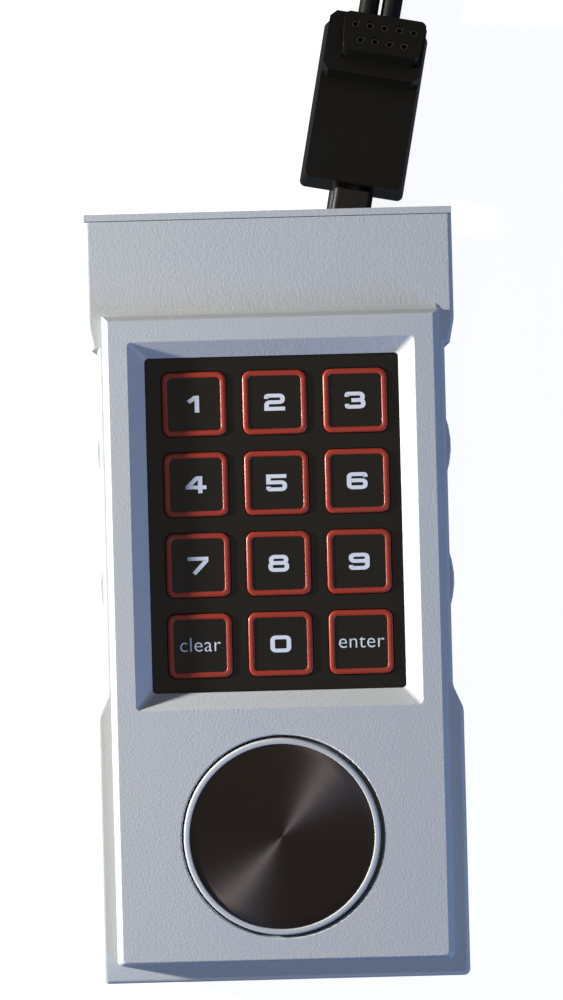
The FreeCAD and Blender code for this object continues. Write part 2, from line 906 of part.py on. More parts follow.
def key(index, name):
    """A square key with a raised outline, a flange that keeps it in and a plunger below."""
    body = new_body(f"key_{name}")
    place(body, *key_centre(index), flange_low)
    half = size.key_side / 2
    rise = sheet_top + size.key_ridge_height - flange_low
    block = new_sketch(body, "top")
    draw_rectangle(block, -half, half, -half, half)
    pad(body, block, rise)
    dress(body, "Fillet", size.key_corner, is_upright)
    well_half = half - size.key_ridge
    well = new_sketch(body, "top", rise)
    draw_rectangle(well, -well_half, well_half, -well_half, well_half)
    pocket(body, well, size.key_well)
    flange = new_sketch(body, "top")
    flange_half = size.key_flange / 2
    draw_rectangle(flange, -flange_half, flange_half, -flange_half, flange_half)
    pad(body, flange, size.key_flange_thick)
    plunger = new_sketch(body, "top")
    plunger_half = size.key_plunger / 2
    draw_rectangle(plunger, -plunger_half, plunger_half, -plunger_half, plunger_half)
    pad(body, plunger, size.key_plunger_length, reverse=True)


def film_sheet(label, low, contact_holes):
    """One layer of the switch: under the keypad, with an arm that reaches under the disc."""
    body = new_body(label)
    margin = size.sheet_skirt + size.film_inset
    half_width = sheet_half_width - margin
    low_y = size.window_middle - sheet_half_length + margin
    high_y = size.window_middle + sheet_half_length - margin
    outline = new_sketch(body, "top", low)
    draw_rectangle(outline, -half_width, half_width, low_y, high_y)
    pad(body, outline, size.film)
    if contact_holes:
        holes = new_sketch(body, "top", low)
        for index in range(len(KEY_NAMES)):
            draw_circle(holes, *key_centre(index), size.contact_hole)
        pocket(body, holes, size.film, reverse=True)


def disc_film():
    """Ring-shaped switch film under the direction disc."""
    ring = cut("disc_switch_film", new_cylinder(
        "disc_film_blank", size.disc_flange, size.film, 0, size.disc_middle, plate_top
    ), [new_cylinder(
        "disc_film_hole", size.film_hole, size.film * 3, 0, size.disc_middle,
        plate_top - size.film,
    )])
    finish(ring, "disc_switch_film")


def backing_plate():
    """Stiff plate that carries the switch films, held by six screws and cut out round the case's bosses."""
    body = new_body("backing_plate")
    outline = new_sketch(body, "top", plate_low)
    draw_rectangle(outline, -size.plate_half_width, size.plate_half_width, size.plate_foot, size.plate_head)
    pad(body, outline, size.plate_thick)
    holes = new_sketch(body, "top", plate_low)
    for across, along in plate_screw_places():
        draw_circle(holes, across, along, size.plate_screw + size.plate_screw_play)
    for across, along in case_screw_places():
        draw_circle(holes, across, along, size.plate_notch)
    pocket(body, holes, size.plate_thick, reverse=True)


def backing_plate_screws():
    low = plate_low - size.plate_screw_head_height
    group("backing_plate_screws", [
        screw(f"plate_screw_{number}", size.plate_screw, size.plate_screw_length,
              size.plate_screw_head, size.plate_screw_head_height, across, along, low)
        for number, (across, along) in enumerate(plate_screw_places())
    ])


# Direction disc

def disc_rim():
    """Turned disc body: rim with broken edges, web, switch rib, hub and ball socket."""
    body = new_body("disc_rim")
    place(body, size.disc_shift, size.disc_middle)
    pan = size.inlay_radius + size.inlay_gap
    profile = new_sketch(body, "front")
    draw_polygon(profile, [
        (as_length(0), size.disc_flange_low),
        (size.hub_radius, size.disc_flange_low),
        (size.hub_radius, size.web_low),
        (size.rib_inner, size.web_low),
        (size.rib_inner, size.rib_low),
        (size.rib_outer, size.rib_low),
        (size.rib_outer, size.web_low),
        (size.inlay_radius, size.web_low),
        (size.inlay_radius, size.disc_flange_low),
        (size.disc_flange, size.disc_flange_low),
        (size.disc_flange, size.disc_flange_top),
        (size.disc_rim, size.disc_flange_top),
        (size.disc_rim, size.disc_top - size.disc_edge),
        (size.disc_rim - size.disc_edge, size.disc_top),
        (pan + size.disc_lip, size.disc_top),
        (pan, size.inlay_seat + size.inlay_thick),
        (pan, size.inlay_seat),
        (as_length(0), size.inlay_seat),
    ])
    revolve(body, profile)
    socket = body.newObject("PartDesign::SubtractiveSphere", "disc_rim_socket")
    bind(socket, "Radius", size.ball_radius + size.ball_gap)
    bind(socket, ".AttachmentOffset.Base.z", size.ball_height)
    socket.AttachmentSupport = (
        next(item for item in body.Origin.OriginFeatures if item.Role == "XY_Plane"), [""]
    )
    socket.MapMode = "FlatFace"
    doc.recompute()


def disc_inlay():
    inlay = new_cylinder(
        "disc_inlay", size.inlay_radius, size.inlay_thick, size.disc_shift, size.disc_middle, size.inlay_seat
    )
    finish(inlay, "disc_inlay")


def pivot_ball():
    ball = doc.addObject("Part::Sphere", "pivot_ball")
    bind(ball, "Radius", size.ball_radius)
    place(ball, size.disc_shift, size.disc_middle, size.ball_height)
    finish(ball, "pivot_ball")


def pivot_post():
    """Post on the switch plate, with a foot, that the ball sits on."""
    top = size.ball_height - size.ball_radius - size.ball_gap / 4
    film_over = plate_top + size.film
    foot = new_cylinder(
        "pivot_post_foot", size.post_foot_radius, size.spring_thick, size.disc_shift, size.disc_middle, film_over
    )
    shaft = new_cylinder(
        "pivot_post_shaft", size.post_radius, top - plate_top, size.disc_shift, size.disc_middle, plate_top
    )
    finish(fuse("pivot_post", [foot, shaft]), "pivot_post")


def disc_spring():
    """Coned spring washer that holds the disc level."""
    body = new_body("disc_spring")
    place(body, size.disc_shift, size.disc_middle)
    low = plate_top + size.film + size.spring_gap
    high = size.web_low - size.spring_gap
    profile = new_sketch(body, "front")
    draw_polygon(profile, [
        (size.spring_outer, low),
        (size.spring_outer, low + size.spring_thick),
        (size.spring_inner + size.spring_thick, high),
        (size.spring_inner, high),
        (size.spring_inner, high - size.spring_thick),
        (size.spring_outer - size.spring_thick, low),
    ])
    revolve(body, profile)


def pressure_ring():
    """Soft ring under the disc's rib that presses the switch film."""
    low = plate_top + size.film
    ring = cut("pressure_ring", new_cylinder(
        "pressure_ring_blank", size.ring_outer, size.ring_thick, size.disc_shift, size.disc_middle, low
    ), [new_cylinder(
        "pressure_ring_hole", size.ring_inner, size.ring_thick * 3, size.disc_shift, size.disc_middle,
        low - size.ring_thick,
    )])
    finish(ring, "pressure_ring")


# Side buttons

# The crown of a side button: shares of its half length, and of its height over the waist.
CROWN = [
    (-1, -0.5), (-0.85, 0.1), (-0.55, 0.65), (-0.18, 1),
    (0.18, 1), (0.55, 0.65), (0.85, 0.1), (1, -0.5),
]


def side_button(side_name, side, place_name, along):
    """A crowned bar through the waist wall, with a wider flange inside that keeps it in."""
    body = new_body(f"side_button_{side_name}_{place_name}")
    place(body, 0, along, size.button_low)
    inner_wall = size.waist_half - size.wall
    flange_face = inner_wall - size.button_gap / 2
    flange_inner = flange_face - size.button_flange
    half = size.button_half_length
    rise = size.button_top - size.button_low
    bar = new_sketch(body, "top")
    face = [(size.waist_half + size.button_crown * rise_share, half * reach) for reach, rise_share in CROWN]
    points = [(flange_face, -half)] + face + [(flange_face, half)]
    draw_polygon(bar, [(across * side, reach) for across, reach in points])
    pad(body, bar, rise)
    flange = new_sketch(body, "top")
    flange_half = half + size.button_flange_margin
    draw_rectangle(flange, flange_inner * side, flange_face * side, -flange_half, flange_half)
    pad(body, flange, rise + size.button_flange_margin / 2)


def button_spring(side_name, side, place_name, along):
    """Bowed leaf between the contact strip and the button's flange."""
    body = new_body(f"button_spring_{side_name}_{place_name}")
    place(body, 0, along, size.button_low + size.leaf_inset)
    low = size.strip_face + size.leaf_gap
    high = size.waist_half - size.wall - size.button_gap / 2 - size.button_flange - size.leaf_gap
    thick = size.leaf_thick
    reach = size.button_half_length - size.leaf_inset
    tip = size.leaf_tip
    leaf = new_sketch(body, "top")
    points = [
        (low, -reach),
        (low + thick, -reach),
        (high, -tip),
        (high, tip),
        (low + thick, reach),
        (low, reach),
        (high - thick, tip - thick),
        (high - thick, thick - tip),
    ]
    draw_polygon(leaf, [(across * side, along_leaf) for across, along_leaf in points])
    pad(body, leaf, size.button_top - size.button_low - size.leaf_inset * 2)


def side_contact(side_name, side):
    """Printed strip that stands behind both buttons of one side."""
    faces = sorted((size.strip_face * side, (size.strip_face - size.strip_thick) * side),
                   key=lambda length: length.value)
    reach = size.button_half_length + size.strip_margin
    strip = new_box(
        f"side_contact_{side_name}", faces[0], faces[1],
        size.button_lower - reach, size.button_upper + reach,
        size.wall + size.film, plate_low - size.film,
    )
    finish(strip, f"side_contact_{side_name}")


# Lead inside the case

def flex_tail():
    """Thin tail that bends down from the switch films into its connector."""
    body = new_body("flex_tail")
    start = size.window_middle + sheet_half_length + size.tail_gap
    end = size.connector_top + size.tail_gap
    bend = size.tail_plane
    profile = new_sketch(body, "side")
    draw_polygon(profile, [
        (start, plate_top),
        (bend, plate_top),
        (bend, end),
        (bend + size.film, end),
        (bend + size.film, plate_top + size.film),
        (start, plate_top + size.film),
    ])
    pad(body, profile, size.tail_half_width * 2).Midplane = True
    doc.recompute()


def tail_connector():
    body = new_body("tail_connector")
    block = new_sketch(body, "top", size.connector_low)
    draw_rectangle(
        block, -size.connector_half_width, size.connector_half_width, size.connector_foot, size.connector_head
    )
    pad(body, block, size.connector_top - size.connector_low)
    dress(body, "Chamfer", size.connector_chamfer, lambda edge: is_level(edge, size.connector_top))


def tube_path(points):
    """Straight runs joined by arcs that are as large as the runs beside them allow."""
    points = [FreeCAD.Vector(*point) for point in points]
    edges = []
    radii = []
    start = points[0]
    for before, corner, after in zip(points, points[1:], points[2:]):
        incoming = corner - before
        outgoing = after - corner
        reach = ARC_SHARE * min(incoming.Length, outgoing.Length)
        turn = incoming.getAngle(outgoing)
        radii.append(reach / math.tan(turn / 2))
        leave = corner - incoming.normalize() * reach
        arrive = corner + outgoing.normalize() * reach
        inward = ((leave + arrive) * 0.5 - corner).normalize()
        centre = corner + inward * (radii[-1] / math.cos(turn / 2))
        middle = centre - inward * radii[-1]
        edges.append(Part.LineSegment(start, leave).toShape())
        edges.append(Part.Arc(leave, middle, arrive).toShape())
        start = arrive
    edges.append(Part.LineSegment(start, points[-1]).toShape())
    return Part.Wire(edges), radii


def tube(points, radius):
    """A round tube along a path, with its volume compared with section times length."""
    path, radii = tube_path(points)
    start = FreeCAD.Vector(*points[0])
    heading = FreeCAD.Vector(*points[1]) - start
    section = Part.Wire([Part.Circle(start, heading, radius).toShape()])
    solid = path.makePipeShell([section], True, False)
    expected = math.pi * radius ** 2 * path.Length
    if abs(solid.Volume / expected - 1) > VOLUME_TOLERANCE:
        raise RuntimeError(f"the tube's volume is {solid.Volume:.1f}, not {expected:.1f}")
    return solid, path.Length, radii


def shape_feature(label, shape, placement=None):
    feature = doc.addObject("Part::Feature", label)
    feature.Shape = shape
    if placement is not None:
        feature.Placement = placement
    return finish(feature, label)


def lead_wires():
    """Nine thin wires that loop round from the tail connector into the end of the lead."""
    wires = []
    for number in range(len(socket_places())):
        start = size.wire_start + size.wire_pitch * number
        fold = size.wire_fold + size.wire_fold_step * number
        end = size.exit_across + size.wire_end - size.wire_end_step * number
        route = [
            (start, size.connector_foot, size.wire_start_height),
            (start, fold, size.wire_fold_height),
            (end, fold, size.exit_height),
            (end, size.stub_inner_end, size.exit_height),
        ]
        points = [[length.value for length in point] for point in route]
        wires.append(tube(points, size.wire_radius.value)[0])
    shape_feature("lead_wires", Part.Compound(wires))


def cord_inner():
    """The end of the lead inside the case, from the grommet to the bared wires."""
    stub = new_cylinder(
        "cord_inner", size.cord_radius, size.stub_outer_end - size.stub_inner_end,
        size.exit_across, size.stub_inner_end, size.exit_height,
    )
    stub.Placement.Rotation = FreeCAD.Rotation(FreeCAD.Vector(1, 0, 0), -90)
    finish(stub, "cord_inner")


def cord_clamp():
    """Bridge screwed down over the lead so that a pull doesn't reach the wires."""
    body = new_body("cord_clamp")
    block = new_sketch(body, "top", size.clamp_post_top)
    draw_rectangle(
        block,
        size.exit_across - size.clamp_half_width, size.exit_across + size.clamp_half_width,
        size.clamp_middle - size.clamp_half_length, size.clamp_middle + size.clamp_half_length,
    )
    pad(body, block, size.clamp_top - size.clamp_post_top)
    saddle = new_sketch(body, "front", -(size.clamp_middle + size.clamp_half_length))
    draw_circle(saddle, size.exit_across, size.exit_height, size.cord_radius)
    pocket(body, saddle, size.clamp_half_length * 2, reverse=True)
    bores = new_sketch(body, "top", size.clamp_top)
    for side in (-1, 1):
        draw_circle(
            bores, size.exit_across + size.clamp_screw_across * side, size.clamp_middle,
            size.plate_screw + size.plate_screw_play,
        )
    pocket(body, bores, size.clamp_top - size.clamp_post_top)


def cord_clamp_screws():
    """Two screws that point down through the bridge."""
    screws = []
    for number, side in enumerate((-1, 1)):
        across = size.exit_across + size.clamp_screw_across * side
        head = new_cylinder(
            f"clamp_screw_head_{number}", size.plate_screw_head, size.plate_screw_head_height,
            across, size.clamp_middle, size.clamp_top,
        )
        low = size.clamp_screw_low
        shank = new_cylinder(
            f"clamp_screw_shank_{number}", size.plate_screw, size.clamp_top - low,
            across, size.clamp_middle, low,
        )
        screws.append(fuse(f"clamp_screw_{number}", [head, shank]))
    group("cord_clamp_screws", screws)


def cord_grommet():
    """Tapered sleeve that carries the lead out through the sloped end of the rear cover."""
    body = new_body("cord_grommet")
    place(body, size.exit_across, size.grommet_inner_end, size.exit_height)
    body.Placement.Rotation = FreeCAD.Rotation(FreeCAD.Vector(1, 0, 0), -90)
    shoulder = size.grommet_shoulder - size.grommet_inner_end
    tip = size.grommet_outer_end - size.grommet_inner_end
    profile = new_sketch(body, "front")
    draw_polygon(profile, [
        (size.cord_radius, as_length(0)),
        (size.grommet_radius, as_length(0)),
        (size.grommet_radius, shoulder),
        (size.grommet_tip_radius, tip),
        (size.cord_radius, tip),
    ])
    revolve(body, profile)


# Lead, plug and coil outside the case, all in the plug's frame

def plug_placement():
    return FreeCAD.Placement(
        FreeCAD.Vector(size.plug_across.value, size.plug_along.value, 0),
        FreeCAD.Rotation(FreeCAD.Vector(0, 0, 1), size.plug_turn.value),
    )


def turn_with_plug(target):
    target.Placement = plug_placement()
    place(target, size.plug_across, size.plug_along)


def plug_body():
    """Moulded right-angle plug: a low slab with a raised flange block at its far end."""
    body = new_body("plug_body")
    turn_with_plug(body)
    slab = new_sketch(body, "top", size.plug_low)
    draw_rectangle(slab, -size.slab_half_width, size.slab_half_width, as_length(0), size.slab_length)
    pad(body, slab, size.slab_top - size.plug_low, draft=-size.slab_draft)
    dress(body, "Fillet", size.case_corner, lambda edge: edge.BoundBox.ZLength > size.wall.value)
    block = new_sketch(body, "top", size.slab_top - size.film)
    draw_polygon(block, cut_corners(
        size.flange_half_width, size.flange_start, size.slab_length - size.flange_inset, size.case_corner
    ))
    pad(body, block, size.flange_top - size.slab_top + size.film)
    pit = new_sketch(body, "top", size.flange_top)
    draw_nose(pit)
    pocket(body, pit, size.nose_seat)


def draw_nose(sketch):
    """The D-shaped plan of a nine-way plug's nose: longer along its five-socket row."""
    left = size.nose_shift - size.nose_half_width
    right = size.nose_shift + size.nose_half_width
    near = size.nose_middle - size.nose_half_depth
    far = size.nose_middle + size.nose_half_depth
    draw_polygon(sketch, [
        (left + size.nose_narrow, near), (right - size.nose_narrow, near), (right, far), (left, far)
    ])


def socket_places():
    """Five sockets in the far row and four between them in the near row."""
    places = []
    for count, row in ((5, 0.5), (4, -0.5)):
        along = size.nose_middle + size.socket_rows * row
        for number in range(count):
            places.append((size.nose_shift + size.socket_pitch * (number - (count - 1) / 2), along))
    return places


def plug_nose():
    body = new_body("plug_nose")
    turn_with_plug(body)
    low = size.flange_top - size.nose_seat
    block = new_sketch(body, "top", low)
    draw_nose(block)
    pad(body, block, size.nose_top - low)
    dress(body, "Fillet", size.case_corner, is_upright)
    sockets = new_sketch(body, "top", size.nose_top)
    for across, along in socket_places():
        draw_circle(sockets, across, along, size.socket_radius)
    pocket(body, sockets, size.socket_depth)


def plug_contacts():
    """Nine brass sockets sunk a little below the nose's face."""
    contacts = []
    low = size.nose_top - size.socket_depth
    height = size.socket_depth - size.contact_recess
    for number, (across, along) in enumerate(socket_places()):
        barrel = new_cylinder(f"contact_barrel_{number}", size.contact_radius, height, across, along, low)
        floor = low + size.contact_floor
        bore = new_cylinder(f"contact_bore_{number}", size.contact_bore, height, across, along, floor)
        contacts.append(cut(f"plug_contact_{number}", barrel, [bore]))
    turn_with_plug(group("plug_contacts", contacts))


def plug_neck():
    """Flat sleeve moulded onto the lead where it enters the plug."""
    body = new_body("plug_neck")
    turn_with_plug(body)
    sleeve = new_sketch(body, "front")
    low = size.neck_height - size.neck_half_height
    high = size.neck_height + size.neck_half_height
    draw_rectangle(
        sleeve, size.neck_shift - size.neck_half_width, size.neck_shift + size.neck_half_width, low, high
    )
    pad(body, sleeve, size.neck_length)
    whole_length = size.neck_length.value - NEAR
    dress(body, "Fillet", size.case_corner, lambda edge: edge.BoundBox.YLength > whole_length)


def cord_runs():
    for label, route in (("cord_exit_run", EXIT_ROUTE), ("cord_return_run", RETURN_ROUTE)):
        solid, length, radii = tube(route, size.cord_radius.value)
        shape_feature(label, solid, plug_placement())
        print(label, f"length {length:.1f} mm, radii", [round(radius, 1) for radius in radii])


def cord_coil():
    """Outer shape of the spare lead wound into a flat coil."""
    body = new_body("cord_coil")
    turned_place(body, size.coil_across, size.coil_along)
    profile = new_sketch(body, "front")
    edge = size.coil_edge
    draw_polygon(profile, [
        (as_length(0), as_length(0)),
        (size.coil_radius - edge, as_length(0)),
        (size.coil_radius, edge),
        (size.coil_radius, size.coil_height - edge),
        (size.coil_radius - edge, size.coil_height),
        (as_length(0), size.coil_height),
    ])
    revolve(body, profile)


def turned_place(target, across, along):
    """Places a sub-part at a point of the plug's frame."""
    frame = plug_placement()
    base = frame.multVec(FreeCAD.Vector(across.value, along.value, 0))
    target.Placement = FreeCAD.Placement(base, frame.Rotation)


def coil_tie():
    """Soft band round the turns, on the side away from the lead."""
    body = new_body("coil_tie")
    turned_place(body, size.coil_across, size.coil_along)
    thick = size.tie_thick
    outer = -(size.coil_radius + thick)
    band = new_sketch(body, "front", -size.tie_width / 2)
    draw_rectangle(band, outer, -size.tie_inner, as_length(0), size.coil_height + thick)
    draw_rectangle(band, outer + thick, -(size.tie_inner + thick), thick, size.coil_height)
    pad(body, band, size.tie_width)


def build():
    front_cover()
    rear_cover()
    case_screws()
    keypad_sheet()
    for index, name in enumerate(KEY_NAMES):
        key(index, name)
    film_sheet("membrane_top_film", plate_top + size.film * 2, False)
    film_sheet("membrane_spacer", plate_top + size.film, True)
    film_sheet("membrane_bottom_film", plate_top, False)
    disc_film()
    backing_plate()
    backing_plate_screws()
    disc_rim()
    disc_inlay()
    pivot_ball()
    pivot_post()
    disc_spring()
    pressure_ring()
    for side_name, side in (("left", -1), ("right", 1)):
        side_contact(side_name, side)
        for place_name, along in button_places().items():
            side_button(side_name, side, place_name, along)
            button_spring(side_name, side, place_name, along)
    flex_tail()
    tail_connector()
    lead_wires()
    cord_inner()
    cord_clamp()
    cord_clamp_screws()
    cord_grommet()
    plug_body()
    plug_nose()
    plug_contacts()
    plug_neck()
    cord_runs()
    cord_coil()
    coil_tie()


def check_and_write():
    doc.recompute()
    failed = [item.Name for item in doc.Objects if {"Invalid", "Error"} & set(item.State)]
    if failed:
        raise RuntimeError(f"failed objects: {failed}")
    for part in sub_parts:
        if part.Shape.isNull() or not part.Shape.isValid():
            raise RuntimeError(f"{part.Label} has no valid shape")
    os.makedirs("parts", exist_ok=True)
    for part in sub_parts:
        part.Shape.exportStep(f"parts/{part.Label}.step")
    print(len(sub_parts), "sub-parts written")


build()
check_and_write()
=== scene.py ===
import json
import math

import bmesh
import bpy
from mathutils import Matrix, Vector


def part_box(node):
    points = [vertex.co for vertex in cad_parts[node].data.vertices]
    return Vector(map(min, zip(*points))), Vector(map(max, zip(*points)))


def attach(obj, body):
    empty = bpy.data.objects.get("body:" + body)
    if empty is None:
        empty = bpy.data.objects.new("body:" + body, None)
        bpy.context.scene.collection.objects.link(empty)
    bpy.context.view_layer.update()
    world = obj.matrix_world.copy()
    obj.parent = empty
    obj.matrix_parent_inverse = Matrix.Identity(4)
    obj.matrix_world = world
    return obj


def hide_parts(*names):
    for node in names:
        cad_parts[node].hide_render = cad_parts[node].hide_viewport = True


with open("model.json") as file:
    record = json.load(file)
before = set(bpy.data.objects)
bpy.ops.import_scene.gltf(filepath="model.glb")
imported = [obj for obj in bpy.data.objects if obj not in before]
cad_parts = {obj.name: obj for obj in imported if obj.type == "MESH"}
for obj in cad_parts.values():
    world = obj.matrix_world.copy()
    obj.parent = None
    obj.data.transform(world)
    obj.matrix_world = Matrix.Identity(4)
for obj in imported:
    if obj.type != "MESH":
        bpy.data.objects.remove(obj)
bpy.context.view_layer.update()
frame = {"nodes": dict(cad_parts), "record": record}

# Looks for the hand controller. Lengths are in metres, in the frame's own axes:
# +X to the player's right, +Y towards the lead, +Z up out of the face.

MM = 0.001
KEY_NAMES = ["1", "2", "3", "4", "5", "6", "7", "8", "9", "clear", "0", "enter"]
NODE_SLOT = {entry["node"]: entry["material_slot"] for entry in frame["record"]["subparts"]}
NODE_BODY = {
    node: body
    for body, nodes in frame["record"]["behaviour"]["bodies"].items()
    for node in nodes
}


# Camera

SENSOR_WIDTH = 36.0
LENS = 75.6
CAMERA_PLACE = (1.3 * MM, 18.3 * MM, 423.5 * MM)
CAMERA_TURN = math.radians(-1.47)


def make_camera():
    """Looks straight down at the table, turned a little about its own axis."""
    data = bpy.data.cameras.new("camera")
    data.sensor_width = SENSOR_WIDTH
    data.lens = LENS
    camera = bpy.data.objects.new("camera", data)
    camera.location = CAMERA_PLACE
    camera.rotation_euler = (0, 0, CAMERA_TURN)
    bpy.context.scene.collection.objects.link(camera)
    bpy.context.scene.camera = camera


# Material helpers. Noise scales are in cells per metre.

CLOUD_SCALE = 45
SMEAR_SCALE = 400
GLOSS_SPREAD = 0.06
GROOVE_SCALE = 7000
GROOVE_DEPTH = 0.01 * MM
STREAK_SCALE = 900
STREAK_DEPTH = 0.02 * MM
WEAVE_SCALE = 420.0
WEAVE_DEPTH = 0.2 * MM


def new_material(name, color, roughness, metallic=0.0, **constants):
    """A Principled material with its fixed values set on the shader's own sockets."""
    material = bpy.data.materials.new(name)
    material.use_nodes = True
    shader = material.node_tree.nodes["Principled BSDF"]
    shader.inputs["Base Color"].default_value = (*color, 1)
    shader.inputs["Roughness"].default_value = roughness
    shader.inputs["Metallic"].default_value = metallic
    for socket, value in constants.items():
        shader.inputs[socket.replace("_", " ")].default_value = value
    return material


def add_node(material, kind, **values):
    """Adds a node, with its own properties first and then the values of its input sockets."""
    node = material.node_tree.nodes.new(kind)
    for name, value in values.items():
        if hasattr(node, name):
            setattr(node, name, value)
        else:
            node.inputs[name.replace("_", " ").title()].default_value = value
    return node


def wire(material, source, target):
    material.node_tree.links.new(source, target)


def shader_of(material):
    return material.node_tree.nodes["Principled BSDF"]


def object_point(material):
    return add_node(material, "ShaderNodeTexCoord").outputs["Object"]


def noise(material, scale, detail=2.0, roughness=0.5, point=None):
    node = add_node(material, "ShaderNodeTexNoise", scale=scale, detail=detail, roughness=roughness)
    wire(material, point or object_point(material), node.inputs["Vector"])
    return node.outputs["Fac"]


def ramp(material, source, stops):
    """Maps a number to a colour through stops of (place, colour)."""
    node = add_node(material, "ShaderNodeValToRGB")
    elements = node.color_ramp.elements
    while len(elements) < len(stops):
        elements.new(0.5)
    for element, (place, color) in zip(elements, stops):
        element.position = place
        element.color = (*color, 1)
    wire(material, source, node.inputs["Fac"])
    return node.outputs["Color"]


def remap(material, source, low, high):
    """Spreads a number from 0 to 1 over the range from low to high."""
    node = add_node(material, "ShaderNodeMapRange")
    node.inputs["To Min"].default_value = low
    node.inputs["To Max"].default_value = high
    wire(material, source, node.inputs["Value"])
    return node.outputs["Result"]


def bump(material, height, distance, strength):
    node = add_node(material, "ShaderNodeBump", strength=strength, distance=distance)
    wire(material, height, node.inputs["Height"])
    return node.outputs["Normal"]


def shade(color, factor):
    return tuple(channel * factor for channel in color)


def moulded_plastic(name, color, roughness, grain, depth, mottle=0.05, **constants):
    """A fine grain, sized in millimetres, over slight clouds of tone and of gloss."""
    material = new_material(name, color, roughness, **constants)
    shader = shader_of(material)
    point = object_point(material)
    red, green, blue = color
    warm = (red * (1 + mottle), green, blue * (1 - mottle))
    cool = (red * (1 - mottle), green * (1 - mottle / 2), blue)
    clouds = noise(material, CLOUD_SCALE, 5.0, 0.65, point)
    tone = ramp(material, clouds, [(0.35, cool), (0.65, warm)])
    wire(material, tone, shader.inputs["Base Color"])
    smears = noise(material, SMEAR_SCALE, 3.0, 0.6, point)
    gloss = remap(material, smears, roughness - GLOSS_SPREAD, roughness + GLOSS_SPREAD)
    wire(material, gloss, shader.inputs["Roughness"])
    pits = noise(material, 1 / (grain * MM), 3.0, 0.65, point)
    wire(material, bump(material, pits, depth * MM, 1.0), shader.inputs["Normal"])
    return material


def spun_metal(name, color, middle):
    """Metal spun in circles: a one-dimensional noise of the radius, as grooves and as tone."""
    material = new_material(name, color, 0.4, 1.0, Anisotropic=0.85, Anisotropic_Rotation=0.042)
    shader = shader_of(material)
    offset = add_node(material, "ShaderNodeVectorMath", operation="SUBTRACT")
    wire(material, object_point(material), offset.inputs[0])
    offset.inputs[1].default_value = middle
    flat = add_node(material, "ShaderNodeVectorMath", operation="MULTIPLY")
    wire(material, offset.outputs[0], flat.inputs[0])
    flat.inputs[1].default_value = (1, 1, 0)
    radius = add_node(material, "ShaderNodeVectorMath", operation="LENGTH")
    wire(material, flat.outputs[0], radius.inputs[0])
    noises = add_node(
        material, "ShaderNodeTexNoise", noise_dimensions="1D",
        scale=GROOVE_SCALE, detail=3.0, roughness=0.7,
    )
    wire(material, radius.outputs["Value"], noises.inputs["W"])
    grooves = noises.outputs["Fac"]
    tone = ramp(material, grooves, [(0.3, shade(color, 0.82)), (0.7, shade(color, 1.2))])
    wire(material, tone, shader.inputs["Base Color"])
    wire(material, bump(material, grooves, GROOVE_DEPTH, 0.6), shader.inputs["Normal"])
    tangent = add_node(material, "ShaderNodeTangent", direction_type="RADIAL", axis="Z")
    wire(material, tangent.outputs["Tangent"], shader.inputs["Tangent"])
    return material


def brushed_steel(name, color, roughness):
    """Metal with fine clouds of tone and shallow marks."""
    material = new_material(name, color, roughness, 1.0)
    shader = shader_of(material)
    streaks = noise(material, STREAK_SCALE, 4.0, 0.7)
    tone = ramp(material, streaks, [(0.3, shade(color, 0.85)), (0.7, shade(color, 1.1))])
    wire(material, tone, shader.inputs["Base Color"])
    wire(material, bump(material, streaks, STREAK_DEPTH, 0.4), shader.inputs["Normal"])
    return material


def woven_band(name, color):
    """Cloth tape with raised bands of yarn."""
    material = new_material(name, color, 0.9, Sheen_Weight=0.4)
    shader = shader_of(material)
    waves = add_node(
        material, "ShaderNodeTexWave", wave_type="BANDS", scale=WEAVE_SCALE, distortion=1.5,
    )
    wire(material, object_point(material), waves.inputs["Vector"])
    yarn = waves.outputs["Fac"]
    tone = ramp(material, yarn, [(0.2, shade(color, 0.6)), (0.8, shade(color, 1.5))])
    wire(material, tone, shader.inputs["Base Color"])
    wire(material, bump(material, yarn, WEAVE_DEPTH, 0.8), shader.inputs["Normal"])
    return material


def glowing_white(name, glow):
    """Pale table that stays bright where the object's shadow falls."""
    material = moulded_plastic(name, (0.3, 0.3, 0.3), 0.8, grain=3, depth=0.01, mottle=0.01)
    shader = shader_of(material)
    shader.inputs["Emission Color"].default_value = (1, 1, 1, 1)
    shader.inputs["Emission Strength"].default_value = glow
    return material


CASE_GREY = (0.50, 0.515, 0.53)
PAD_BLACK = (0.005, 0.0042, 0.002)
LEAD_BLACK = (0.006, 0.006, 0.006)
PLUG_BLACK = (0.0045, 0.0045, 0.0035)

